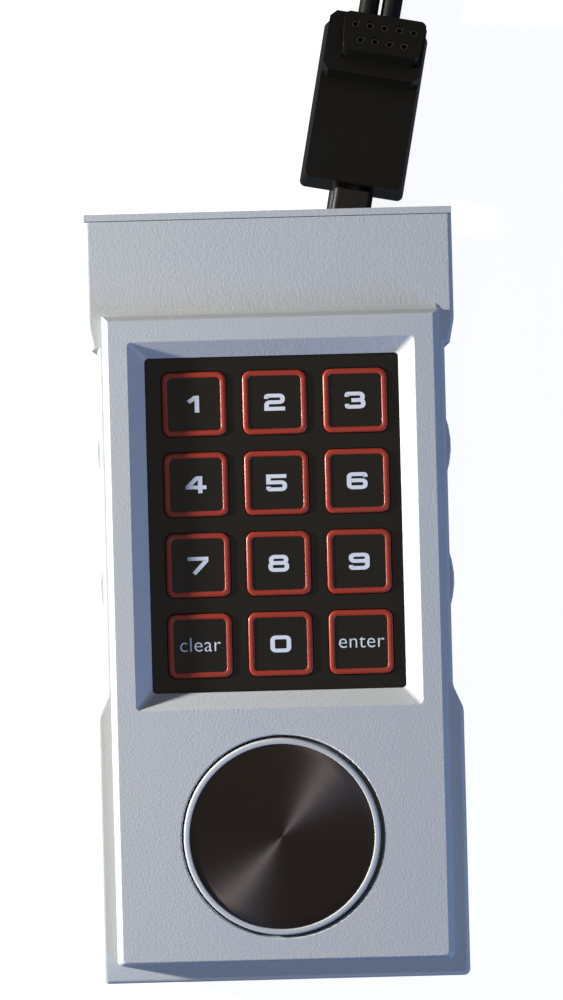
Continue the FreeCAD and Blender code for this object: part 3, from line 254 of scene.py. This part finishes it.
PLASTICS = {
    "case_plastic": dict(
        color=CASE_GREY, roughness=0.55, grain=0.42, depth=0.065, mottle=0.02),
    "button_plastic": dict(
        color=shade(CASE_GREY, 0.97), roughness=0.5, grain=0.3, depth=0.02, mottle=0.02),
    "keypad_black": dict(
        color=PAD_BLACK, roughness=0.36, grain=0.5, depth=0.01, mottle=0.3),
    "key_black": dict(
        color=PAD_BLACK, roughness=0.36, grain=0.5, depth=0.01, mottle=0.3),
    "key_red": dict(
        color=(0.34, 0.036, 0.02), roughness=0.36, grain=0.25, depth=0.012, mottle=0.12),
    "key_ink": dict(
        color=(0.7, 0.74, 0.82), roughness=0.6, grain=0.3, depth=0.004, mottle=0.03),
    "membrane_film": dict(
        color=(0.7, 0.68, 0.55), roughness=0.25, grain=2, depth=0.002),
    "spacer_film": dict(
        color=(0.8, 0.8, 0.78), roughness=0.6, grain=2, depth=0.002),
    "disc_plastic": dict(
        color=CASE_GREY, roughness=0.45, grain=0.5, depth=0.006, mottle=0.02),
    "pivot_plastic": dict(
        color=(0.75, 0.74, 0.7), roughness=0.4, grain=1, depth=0.004),
    "pressure_rubber": dict(
        color=(0.03, 0.03, 0.03), roughness=0.75, grain=0.4, depth=0.01),
    "connector_plastic": dict(
        color=(0.7, 0.66, 0.55), roughness=0.35, grain=1, depth=0.004),
    "wire_insulation": dict(
        color=(0.35, 0.12, 0.05), roughness=0.45, grain=1, depth=0.002),
    "cord_sheath": dict(
        color=LEAD_BLACK, roughness=0.42, grain=0.6, depth=0.012, mottle=0.1,
        Specular_IOR_Level=0.3),
    "fitting_black": dict(
        color=LEAD_BLACK, roughness=0.4, grain=0.5, depth=0.015, mottle=0.1),
    "plug_black": dict(
        color=PLUG_BLACK, roughness=0.34, grain=0.55, depth=0.025, mottle=0.15,
        Specular_IOR_Level=0.25),
}
METALS = {
    "plate_steel": dict(color=(0.6, 0.6, 0.62), roughness=0.35),
    "screw_steel": dict(color=(0.5, 0.5, 0.5), roughness=0.3),
    "spring_steel": dict(color=(0.45, 0.45, 0.46), roughness=0.28),
    # The contacts' brass is painted far darker than brass: painted shade for the deep socket holes
    # they sit in.
    "contact_brass": dict(color=(0.2, 0.16, 0.11), roughness=0.4),
}
INLAY_METAL = (0.084, 0.068, 0.062)
TIE_BLACK = (0.02, 0.02, 0.022)
TABLE_GLOW = 0.9


def make_materials():
    inlay_low, inlay_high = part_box("disc_inlay")
    inlay_middle = (inlay_low + inlay_high) / 2
    made = {name: moulded_plastic(name, **values) for name, values in PLASTICS.items()}
    made.update({name: brushed_steel(name, **values) for name, values in METALS.items()})
    made["disc_metal"] = spun_metal("disc_metal", INLAY_METAL, inlay_middle)
    made["cord_tie"] = woven_band("cord_tie", TIE_BLACK)
    made["table"] = glowing_white("table", TABLE_GLOW)
    return made


# Piece helpers

SHARP_ANGLE = 35.0
CLOSE_POINTS = 0.001 * MM
FLAT_ANGLE = math.radians(0.5)
BEVEL_SEGMENTS = 3
BEVEL_ANGLE = math.radians(30.0)
RING_STEPS = 6


def add_piece(name, mesh, body, replaced=()):
    piece = bpy.data.objects.new(name, mesh)
    bpy.context.scene.collection.objects.link(piece)
    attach(piece, body)
    if replaced:
        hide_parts(*replaced)
    return piece


def mesh_from(name, bm, materials, sharp_angle=SHARP_ANGLE):
    bmesh.ops.recalc_face_normals(bm, faces=bm.faces)
    mesh = bpy.data.meshes.new(name)
    bm.to_mesh(mesh)
    bm.free()
    for material in materials:
        mesh.materials.append(material)
    mesh.polygons.foreach_set("use_smooth", [True] * len(mesh.polygons))
    mesh.set_sharp_from_angle(angle=math.radians(sharp_angle))
    return mesh


def refine(node, materials, width):
    """Stands for a CAD node with the same shape and softly rounded edges."""
    bm = bmesh.new()
    bm.from_mesh(frame["nodes"][node].data)
    bmesh.ops.remove_doubles(bm, verts=bm.verts, dist=CLOSE_POINTS)
    bmesh.ops.dissolve_limit(bm, angle_limit=FLAT_ANGLE, verts=bm.verts, edges=bm.edges)
    slot = NODE_SLOT[node]
    mesh = mesh_from(node + "_moulded", bm, [materials[slot]], 180.0)
    piece = add_piece(node + "_moulded", mesh, NODE_BODY[node], [node])
    bevel = piece.modifiers.new("rounded_edges", "BEVEL")
    bevel.width = width
    bevel.segments = BEVEL_SEGMENTS
    bevel.limit_method = "ANGLE"
    bevel.angle_limit = BEVEL_ANGLE
    piece.modifiers.new("flat_faces", "WEIGHTED_NORMAL")


def turn_profile(bm, profile, middle, steps):
    """A solid of revolution about an upright axis, from points of (radius, height)."""
    columns = []
    for step in range(steps):
        angle = math.tau * step / steps
        across, along = math.cos(angle), math.sin(angle)
        columns.append([
            (middle[0] + radius * across, middle[1] + radius * along, height)
            for radius, height in profile
        ])
    on_axis = {
        index: bm.verts.new((middle[0], middle[1], height))
        for index, (radius, height) in enumerate(profile) if radius == 0
    }
    rings = [
        [on_axis.get(index) or bm.verts.new(point) for index, point in enumerate(column)]
        for column in columns
    ]
    count = len(profile)
    for step, ring in enumerate(rings):
        following = rings[(step + 1) % steps]
        for index in range(count):
            corner = (index + 1) % count
            loop = [ring[index], following[index], following[corner], ring[corner]]
            corners = list(dict.fromkeys(loop))
            if len(corners) > 2:
                bm.faces.new(corners)


def rounded_corner(corner, radius, start, end, steps):
    """An arc of (radius, height) points about an inner point, between two angles in degrees."""
    points = []
    for step in range(steps + 1):
        angle = math.radians(start + (end - start) * step / steps)
        points.append((corner[0] + radius * math.cos(angle), corner[1] + radius * math.sin(angle)))
    return points


def rounded_ring(half, corner):
    """Points of a square with round corners, counter-clockwise from its right side."""
    points = []
    for quarter in range(4):
        start = quarter * math.pi / 2
        across = (half - corner) * (1 if quarter in (0, 3) else -1)
        along = (half - corner) * (1 if quarter in (0, 1) else -1)
        for step in range(RING_STEPS + 1):
            angle = start + step / RING_STEPS * math.pi / 2
            points.append((across + corner * math.cos(angle), along + corner * math.sin(angle)))
    return points


# Keys

KEY_HALF = 6.15 * MM
KEY_CORNER = 1.6 * MM
LEAST_CORNER = 0.3 * MM
CORNER_SHRINK = 0.75
CORNER_LIMIT = 0.9
RIDGE_WIDTH = 1.07 * MM
RIDGE_RISE = 0.45 * MM
RIDGE_STEPS = 10
RIDGE_FULLNESS = 0.6
PANEL_DROP = 0.2 * MM
PLUNGER_HALF = 4.0 * MM
PLUNGER_HEIGHT = 0.4 * MM
KEY_FLANGE = 0.7 * MM
UNDER_SHEET = 0.15 * MM
KEY_SHARP_ANGLE = 50.0
# The panel's hollow: how far in from the ridge, and how far down, for each of its rings.
HOLLOW = [(0.3 * MM, 0.02 * MM), (2.0 * MM, 0.05 * MM)]
HOLLOW_MIDDLE = (1.0 * MM, 0.06 * MM)


def key_cap(name, materials):
    """A key with a raised, rounded red outline about a sunk panel that is a little hollow."""
    node = f"key_{name}"
    low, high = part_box(node)
    middle = (low + high) / 2
    flange_half = (high.x - low.x) / 2
    sheet = high.z - RIDGE_RISE
    panel = high.z - PANEL_DROP
    flange_low = low.z + PLUNGER_HEIGHT
    flange_top = flange_low + KEY_FLANGE
    # Rings from the foot up: half width, height, and whether the red outline runs along it.
    profile = [
        (PLUNGER_HALF, low.z, False), (PLUNGER_HALF, flange_low, False),
        (flange_half, flange_low, False), (flange_half, flange_top, False),
        (KEY_HALF, flange_top, False), (KEY_HALF, sheet - UNDER_SHEET, False),
        (KEY_HALF, sheet, True),
    ]
    for step in range(1, RIDGE_STEPS):
        turn = math.pi * step / RIDGE_STEPS
        base = sheet if step < RIDGE_STEPS / 2 else panel
        rise = math.sin(turn) ** RIDGE_FULLNESS * (high.z - base)
        profile.append((KEY_HALF - RIDGE_WIDTH * (1 - math.cos(turn)) / 2, base + rise, True))
    inner = KEY_HALF - RIDGE_WIDTH
    profile.append((inner, panel, True))
    profile += [(inner - inset, panel - drop, False) for inset, drop in HOLLOW]
    profile.append((HOLLOW_MIDDLE[0], panel - HOLLOW_MIDDLE[1], False))
    bm = bmesh.new()
    rings = []
    for half, height, _ in profile:
        inset = KEY_HALF - min(half, KEY_HALF)
        corner = max(LEAST_CORNER, KEY_CORNER - inset * CORNER_SHRINK)
        corner = min(corner, half * CORNER_LIMIT)
        rings.append([
            bm.verts.new((middle.x + across, middle.y + along, height))
            for across, along in rounded_ring(half, corner)
        ])
    count = len(rings[0])
    for index in range(len(rings) - 1):
        below, above = rings[index], rings[index + 1]
        red = profile[index][2] and profile[index + 1][2]
        for here in range(count):
            following = (here + 1) % count
            face = bm.faces.new((below[here], below[following], above[following], above[here]))
            face.material_index = 1 if red else 0
    bm.faces.new(list(reversed(rings[0])))
    bm.faces.new(rings[-1])
    plastics = [materials["key_black"], materials["key_red"]]
    mesh = mesh_from(f"{node}_cap", bm, plastics, KEY_SHARP_ANGLE)
    add_piece(f"{node}_cap", mesh, node, [node])
    return middle, panel


INK_HALF_WIDTH = 0.36 * MM
INK_CORNER = 0.62 * MM
INK_CORNER_STEPS = 5
INK_SUNK = 0.1 * MM
# Each stroke stands this many millimetres above the last, so no two tops lie in one plane.
INK_RISE = 0.01
SAME_PLACE = 0.02 * MM
MITER_LIMIT = 0.4
DIGIT_HALF_WIDTH = 1.3 * MM
DIGIT_HALF_HEIGHT = 1.26 * MM
DIGIT_STRETCH = 1.2


def round_corners(points, radius, closed):
    """The polyline with its corners turned into arcs."""
    points = [Vector(point) for point in points]
    count = len(points)
    result = []
    for index, point in enumerate(points):
        if not closed and index in (0, count - 1):
            result.append(point)
            continue
        before = points[index - 1] - point
        after = points[(index + 1) % count] - point
        half_turn = (math.pi - before.angle(after)) / 2
        reach = min(radius * math.tan(half_turn), before.length / 2, after.length / 2)
        start = point + before.normalized() * reach
        end = point + after.normalized() * reach
        for step in range(INK_CORNER_STEPS + 1):
            part = step / INK_CORNER_STEPS
            bend = start * (1 - part) ** 2 + point * 2 * part * (1 - part) + end * part ** 2
            if not result or (bend - result[-1]).length > SAME_PLACE:
                result.append(bend)
    if closed and (result[0] - result[-1]).length <= SAME_PLACE:
        result.pop()
    return result


def add_stroke(bm, points, half_width, low, high, closed):
    """A flat ribbon of ink along a polyline, with mitred corners and square ends."""
    count = len(points)
    sides = []
    for index, point in enumerate(points):
        before = points[index - 1] if closed or index else None
        after = points[(index + 1) % count] if closed or index < count - 1 else None
        incoming = (after - point if before is None else point - before).normalized()
        outgoing = incoming if after is None else (after - point).normalized()
        normal = Vector((-(incoming + outgoing).y, (incoming + outgoing).x)).normalized()
        miter = half_width / max(MITER_LIMIT, normal.dot(Vector((-outgoing.y, outgoing.x))))
        sides.append((point + normal * miter, point - normal * miter))
    rings = []
    for left, right in sides:
        section = ((left, low), (right, low), (right, high), (left, high))
        rings.append([bm.verts.new((side.x, side.y, height)) for side, height in section])
    for index in range(count if closed else count - 1):
        here, there = rings[index], rings[(index + 1) % count]
        for corner in range(4):
            following = (corner + 1) % 4
            bm.faces.new((here[corner], here[following], there[following], there[corner]))
    if not closed:
        bm.faces.new(rings[0])
        bm.faces.new(list(reversed(rings[-1])))


def digit_strokes(name, wide, tall, half):
    """Centre lines of a wide, squared digit: a list of (points, closed)."""
    top, low = tall, -tall
    middle = tall * 0.06
    hook = tall * 0.55
    edge = wide + half
    bowl = [(wide, middle), (wide, low), (-wide, low), (-wide, -hook)]
    upper_loop = ([(-wide, middle), (wide, middle), (wide, top), (-wide, top)], True)
    lower_loop = ([(-wide, low), (wide, low), (wide, middle), (-wide, middle)], True)
    waist = wide * 0.92
    strokes = {
        "0": [([(-wide, low), (wide, low), (wide, top), (-wide, top)], True)],
        "1": [([(wide * 0.35, low - half), (wide * 0.35, top + half)], False),
              ([(wide * 0.3, top), (wide * 0.1, top), (-wide * 0.7, top * 0.3)], False)],
        "2": [([(-wide, hook), (-wide, top), (wide, top),
                (wide, 0), (-wide, 0), (-wide, low)], False),
              ([(-edge, low), (edge, low)], False)],
        "3": [([(-wide, hook), (-wide, top), (waist, top), (waist, 0), (-wide * 0.45, 0)], False),
              ([(0, 0), (wide, 0), (wide, low), (-wide, low), (-wide, -hook)], False)],
        "4": [([(wide * 0.5, low - half), (wide * 0.5, top + half)], False),
              ([(wide * 0.45, top), (wide * 0.1, top), (-wide * 1.05, low * 0.35)], False),
              ([(-edge, low * 0.4), (edge, low * 0.4)], False)],
        "5": [([(-edge, top), (edge * 0.95, top)], False),
              ([(-wide, top), (-wide, middle - half)], False),
              ([(-wide, middle)] + bowl, False)],
        "6": [lower_loop,
              ([(-wide, low * 0.5), (-wide, top), (wide, top), (wide, hook)], False)],
        "7": [([(-edge, top), (edge, top)], False),
              ([(wide, top - half), (wide, top * 0.65), (-wide * 0.5, low - half)], False)],
        "8": [lower_loop,
              ([(-waist, middle), (waist, middle), (waist, top), (-waist, top)], True)],
        "9": [upper_loop,
              ([(wide, top * 0.5), (wide, low), (-wide, low), (-wide, -hook)], False)],
    }
    return strokes[name]


def key_digit(name, middle, panel, materials):
    """A digit printed on its key: upright strokes are thicker than level ones."""
    bm = bmesh.new()
    strokes = digit_strokes(name, DIGIT_HALF_WIDTH, DIGIT_HALF_HEIGHT, INK_HALF_WIDTH)
    for number, (points, closed) in enumerate(strokes):
        rounded = round_corners(points, INK_CORNER, closed)
        height = (INK_RISE + INK_RISE * number) * MM
        add_stroke(bm, rounded, INK_HALF_WIDTH, -INK_SUNK, height, closed)
    place = Matrix.Translation((middle.x, middle.y, panel))
    bm.transform(place @ Matrix.Diagonal((DIGIT_STRETCH, 1, 1, 1)))
    mesh = mesh_from(f"key_{name}_legend", bm, [materials["key_ink"]])
    add_piece(f"key_{name}_legend", mesh, f"key_{name}")


WORD_SIZE = 3.95 * MM
WORD_THINNING = 0.035 * MM
WORD_SPACING = 1.04
WORD_THICKNESS = 0.05 * MM
WORD_SHIFT = 0.1 * MM
WORD_SUNK = 0.03 * MM


def key_word(name, middle, panel, materials):
    """A light lower-case word, from Blender's built-in font."""
    data = bpy.data.curves.new(f"{name}_text", "FONT")
    data.body = name
    data.size = WORD_SIZE
    data.offset = -WORD_THINNING
    data.space_character = WORD_SPACING
    data.align_x = "CENTER"
    data.align_y = "CENTER"
    data.extrude = WORD_THICKNESS
    text = bpy.data.objects.new(f"{name}_text", data)
    bpy.context.scene.collection.objects.link(text)
    bpy.context.view_layer.update()
    evaluated = text.evaluated_get(bpy.context.evaluated_depsgraph_get())
    mesh = bpy.data.meshes.new_from_object(evaluated)
    bpy.data.objects.remove(text)
    mesh.transform(Matrix.Translation((middle.x, middle.y + WORD_SHIFT, panel - WORD_SUNK)))
    mesh.name = f"key_{name}_legend"
    mesh.materials.clear()
    mesh.materials.append(materials["key_ink"])
    add_piece(f"key_{name}_legend", mesh, f"key_{name}")


def make_keys(materials):
    for name in KEY_NAMES:
        middle, panel = key_cap(name, materials)
        if name.isdigit():
            key_digit(name, middle, panel, materials)
        else:
            key_word(name, middle, panel, materials)


# Screws in the back

HEAD_RADIUS = 2.3 * MM
HEAD_HEIGHT = 1.6 * MM
SHANK_RADIUS = 1.2 * MM
RECESS_ARM = 1.35 * MM
RECESS_HALF = 0.28 * MM
RECESS_DEPTH = 0.9 * MM
# One arm of the cross is this much longer at both ends, so that no two faces lie in one plane.
RECESS_STEP = RECESS_HALF * 0.01
HEAD_EDGE = 0.45 * MM
SHANK_TIP = 0.2 * MM
SCREW_STEPS = 40


def add_block(bm, low, high):
    corners = [
        (x, y, z)
        for x in (low[0], high[0])
        for y in (low[1], high[1])
        for z in (low[2], high[2])
    ]
    bmesh.ops.convex_hull(bm, input=[bm.verts.new(corner) for corner in corners])


def make_case_screws(materials):
    """Four pan-head screws with a crossed recess, heads down."""
    low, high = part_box("case_screws")
    edge = (HEAD_RADIUS - HEAD_EDGE, low.z + HEAD_EDGE)
    profile = [(0, low.z), (edge[0], low.z)]
    profile += rounded_corner(edge, HEAD_EDGE, -90, 0, 4)[1:]
    profile += [(HEAD_RADIUS, low.z + HEAD_HEIGHT), (SHANK_RADIUS, low.z + HEAD_HEIGHT)]
    profile += [(SHANK_RADIUS, high.z - SHANK_RADIUS), (SHANK_TIP, high.z), (0, high.z)]
    turned = bmesh.new()
    crosses = bmesh.new()
    bottom, deep = low.z - RECESS_DEPTH, low.z + RECESS_DEPTH
    for along in (low.y + HEAD_RADIUS, high.y - HEAD_RADIUS):
        for across in (low.x + HEAD_RADIUS, high.x - HEAD_RADIUS):
            turn_profile(turned, profile, (across, along), SCREW_STEPS)
            for wide, tall in ((RECESS_ARM, RECESS_HALF), (RECESS_HALF, RECESS_ARM)):
                reach = RECESS_STEP if wide == RECESS_HALF else 0
                add_block(
                    crosses, (across - wide, along - tall, bottom - reach),
                    (across + wide, along + tall, deep + reach),
                )
    steel = [materials["screw_steel"]]
    solid = bpy.data.objects.new("screw_solid", mesh_from("screw_solid", turned, steel))
    cutter = bpy.data.objects.new("screw_cutter", mesh_from("screw_cutter", crosses, steel))
    for helper in (solid, cutter):
        bpy.context.scene.collection.objects.link(helper)
    recess = solid.modifiers.new("recess", "BOOLEAN")
    recess.object = cutter
    recess.operation = "DIFFERENCE"
    recess.solver = "EXACT"
    recess.use_self = True
    bpy.context.view_layer.update()
    evaluated = solid.evaluated_get(bpy.context.evaluated_depsgraph_get())
    mesh = bpy.data.meshes.new_from_object(evaluated)
    bpy.data.objects.remove(solid)
    bpy.data.objects.remove(cutter)
    mesh.name = "case_screws_turned"
    add_piece("case_screws_turned", mesh, NODE_BODY["case_screws"], ["case_screws"])


# Direction disc. The rim's profile is in millimetres.

RIM_RADIUS = 18.75
RIM_EDGE = 0.4
RIM_LIP = 0.2
PAN_RADIUS = 17.65
PAN_FLOOR = 23.0
WEB_HEIGHT = 21.0
RIB_INNER = 13.2
RIB_OUTER = 14.2
HUB_RADIUS = 4.5
SKIRT_INNER = 17.6
FLANGE_THICK = 0.8
SOCKET_RADIUS = 2.12
SOCKET_HEIGHT = 20.6
FOOT_RISE = 0.25
DISC_STEPS = 180
INLAY_EDGE = 0.08 * MM
INLAY_RINGS = (0.9, 0.7, 0.5, 0.3, 0.1)


def make_disc(materials):
    """The disc's turned rim with rounded edges, and the spun metal inlay set into it."""
    low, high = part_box("disc_rim")
    middle = (low + high) / 2
    top = high.z / MM
    foot = low.z / MM + FOOT_RISE
    flange = (high.x - low.x) / 2 / MM
    opening = math.degrees(math.asin((foot - SOCKET_HEIGHT) / SOCKET_RADIUS))
    profile = rounded_corner((0, SOCKET_HEIGHT), SOCKET_RADIUS, 90, opening, 12)
    profile[0] = (0, SOCKET_HEIGHT + SOCKET_RADIUS)
    profile += [
        (HUB_RADIUS, foot), (HUB_RADIUS, WEB_HEIGHT),
        (RIB_INNER, WEB_HEIGHT), (RIB_INNER, low.z / MM),
        (RIB_OUTER, low.z / MM), (RIB_OUTER, WEB_HEIGHT),
        (SKIRT_INNER, WEB_HEIGHT), (SKIRT_INNER, foot),
        (flange, foot), (flange, foot + FLANGE_THICK), (RIM_RADIUS, foot + FLANGE_THICK),
    ]
    profile += rounded_corner((RIM_RADIUS - RIM_EDGE, top - RIM_EDGE), RIM_EDGE, 0, 90, 7)
    profile += rounded_corner((PAN_RADIUS + RIM_LIP, top - RIM_LIP), RIM_LIP, 90, 180, 5)
    profile += [(PAN_RADIUS, PAN_FLOOR), (0, PAN_FLOOR)]
    bm = bmesh.new()
    profile = [(radius * MM, height * MM) for radius, height in profile]
    turn_profile(bm, profile, middle, DISC_STEPS)
    mesh = mesh_from("disc_rim_turned", bm, [materials["disc_plastic"]])
    add_piece("disc_rim_turned", mesh, "disc", ["disc_rim"])

    low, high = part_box("disc_inlay")
    radius = (high.x - low.x) / 2
    edge = (radius - INLAY_EDGE, high.z - INLAY_EDGE)
    profile = [(0, low.z), (radius, low.z)]
    profile += rounded_corner(edge, INLAY_EDGE, 0, 90, 3)
    profile += [(radius * share, high.z) for share in INLAY_RINGS]
    profile += [(0, high.z)]
    bm = bmesh.new()
    turn_profile(bm, profile, middle, DISC_STEPS)
    mesh = mesh_from("disc_inlay_spun", bm, [materials["disc_metal"]])
    add_piece("disc_inlay_spun", mesh, "disc", ["disc_inlay"])


# Lead

CORD_DIAMETER = 4.0 * MM
PLUG_PLACE = Vector((16.6, 79.0, 0)) * MM
PLUG_TURN = math.radians(-10.6)

# The route of the lead in the plug's frame (across, along, height), in millimetres.
EXIT_ROUTE = [
    (4.16, -18.96, 5.2),
    (2.72, -11.29, 5.2),
    (2.2, -5.2, 2.9),
    (2.1, 2.6, 2.0),
    (2.3, 14.0, 2.0),
    (2.1, 28.0, 2.0),
    (2.35, 43.0, 2.0),
    (2.1, 59.0, 2.0),
]
RETURN_ROUTE = [
    (-2.25, 62.0, 5.7),
    (-2.4, 50.0, 2.5),
    (-2.2, 38.0, 2.0),
    (-2.35, 25.0, 2.0),
    (-2.15, 12.0, 2.0),
    (-2.3, 1.0, 2.0),
    (-2.2, -8.2, 2.0),
    (-2.0, -10.5, 6.0),
    (-1.4, -8.2, 10.0),
    (-0.8, -1.9, 10.1),
]
COIL_MIDDLE = (-27.75, 74.0)
COIL_OUTER = 29.8
COIL_INNER = 17.0
UPPER_OUTER = 25.55
LOWER_LAYER = 2.0
UPPER_LAYER = 6.2
TURNS_IN = 2.5
TURNS_OUT = 2.0
POINTS_PER_TURN = 16
# The crossing climbs to the upper layer over this many half-circles.
CLIMB = 1.7
CORD_ROUNDNESS = 6
CORD_RESOLUTION = 8


def coil_point(radius, angle, height):
    across = COIL_MIDDLE[0] + radius * math.cos(angle)
    along = COIL_MIDDLE[1] + radius * math.sin(angle)
    return (across, along, height)


def coil_route():
    """In along the lower layer, through the middle in an S, and out again along the upper layer."""
    points = []
    steps = round(TURNS_IN * POINTS_PER_TURN)
    for step in range(steps + 1):
        part = step / steps
        radius = COIL_OUTER + (COIL_INNER - COIL_OUTER) * part
        points.append(coil_point(radius, math.tau * TURNS_IN * part, LOWER_LAYER))
    half = COIL_INNER / 2
    steps = POINTS_PER_TURN // 2
    rise = UPPER_LAYER - LOWER_LAYER
    for step in range(1, 2 * steps):
        part = step / steps
        height = LOWER_LAYER + rise * min(1.0, part / CLIMB)
        if step <= steps:
            across = -half + half * math.cos(math.pi + math.pi * part)
            along = half * math.sin(math.pi + math.pi * part)
        else:
            across = half - half * math.cos(math.pi * (part - 1))
            along = half * math.sin(math.pi * (part - 1))
        points.append((COIL_MIDDLE[0] + across, COIL_MIDDLE[1] + along, height))
    steps = round(TURNS_OUT * POINTS_PER_TURN)
    for step in range(steps + 1):
        part = step / steps
        radius = COIL_INNER + (UPPER_OUTER - COIL_INNER) * part
        points.append(coil_point(radius, -math.tau * TURNS_OUT * part, UPPER_LAYER))
    return points


def in_frame(point):
    """From the plug's frame in millimetres to the model's in metres."""
    turn = Matrix.Rotation(PLUG_TURN, 3, "Z")
    return turn @ (Vector(point) * MM) + PLUG_PLACE


def make_cord(materials):
    data = bpy.data.curves.new("cord", "CURVE")
    data.dimensions = "3D"
    data.bevel_depth = CORD_DIAMETER / 2
    data.bevel_resolution = CORD_ROUNDNESS
    data.resolution_u = CORD_RESOLUTION
    data.use_fill_caps = True
    points = [in_frame(point) for point in EXIT_ROUTE + coil_route() + RETURN_ROUTE]
    spline = data.splines.new("NURBS")
    spline.points.add(len(points) - 1)
    for control, point in zip(spline.points, points):
        control.co = (*point, 1)
    spline.order_u = 3
    spline.use_endpoint_u = True
    data.materials.append(materials["cord_sheath"])
    cord = bpy.data.objects.new("cord", data)
    bpy.context.scene.collection.objects.link(cord)
    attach(cord, "case")
    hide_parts("cord_exit_run", "cord_return_run", "cord_coil")


# Assembly

# CAD nodes whose edges are rounded, and how wide each rounding is, in millimetres.
ROUNDED_EDGES = {
    "keypad_sheet": 0.12, "plug_body": 0.5, "plug_nose": 0.25, "plug_neck": 0.5, "coil_tie": 0.15,
    "side_button_left_upper": 0.35, "side_button_left_lower": 0.35,
    "side_button_right_upper": 0.35, "side_button_right_lower": 0.35,
}
FLOOR_HALF = 2.0
FLOOR_DROP = 0.02 * MM
WORLD_COLOR = (0.72, 0.83, 1.0, 1)
WORLD_STRENGTH = 0.1
# A low key from the left, blue skylight from the right and the foot, a warm panel overhead.
LIGHTS = {
    "key_light": dict(
        place=(-0.58, 0.105, 0.158), target=(0, 0, 0.02), size=(0.02, 0.04),
        energy=9.8, color=(1.0, 0.98, 0.94)),
    "sky_light": dict(
        place=(0.85, -0.62, 0.55), target=(0, 0, 0), size=(0.6, 0.6),
        energy=7.4, color=(0.34, 0.53, 1.0)),
    "panel_light": dict(
        place=(0, 0, 1.2), target=(0, 0, 0), size=(0.9, 0.9),
        energy=0.82, color=(1.0, 0.86, 0.62)),
}


def make_refined(materials):
    for node, width in ROUNDED_EDGES.items():
        refine(node, materials, width * MM)


def finish_cad_nodes(materials):
    """Every CAD node gets its slot's material."""
    for node, cad in frame["nodes"].items():
        cad.data.materials.clear()
        cad.data.materials.append(materials[NODE_SLOT[node]])


def make_floor(materials):
    """A table that throws no light back onto the object."""
    bm = bmesh.new()
    bmesh.ops.create_grid(bm, x_segments=8, y_segments=8, size=FLOOR_HALF)
    mesh = mesh_from("table", bm, [materials["table"]])
    floor = bpy.data.objects.new("table", mesh)
    floor.location.z = -FLOOR_DROP
    floor.visible_diffuse = False
    floor.visible_glossy = False
    bpy.context.scene.collection.objects.link(floor)


def add_area_light(name, place, target, size, energy, color):
    data = bpy.data.lights.new(name, "AREA")
    data.shape = "RECTANGLE"
    data.size, data.size_y = size
    data.energy = energy
    data.color = color
    light = bpy.data.objects.new(name, data)
    light.location = place
    light.rotation_euler = (Vector(target) - Vector(place)).to_track_quat("-Z", "Y").to_euler()
    bpy.context.scene.collection.objects.link(light)


def make_lights():
    for name, values in LIGHTS.items():
        add_area_light(name, **values)
    world = bpy.data.worlds.new("sky")
    world.use_nodes = True
    background = world.node_tree.nodes["Background"]
    background.inputs["Color"].default_value = WORLD_COLOR
    background.inputs["Strength"].default_value = WORLD_STRENGTH
    bpy.context.scene.world = world
    bpy.context.scene.view_settings.view_transform = "Standard"


make_camera()
materials = make_materials()
finish_cad_nodes(materials)
make_refined(materials)
make_cord(materials)
make_keys(materials)
make_case_screws(materials)
make_disc(materials)
make_floor(materials)
make_lights()
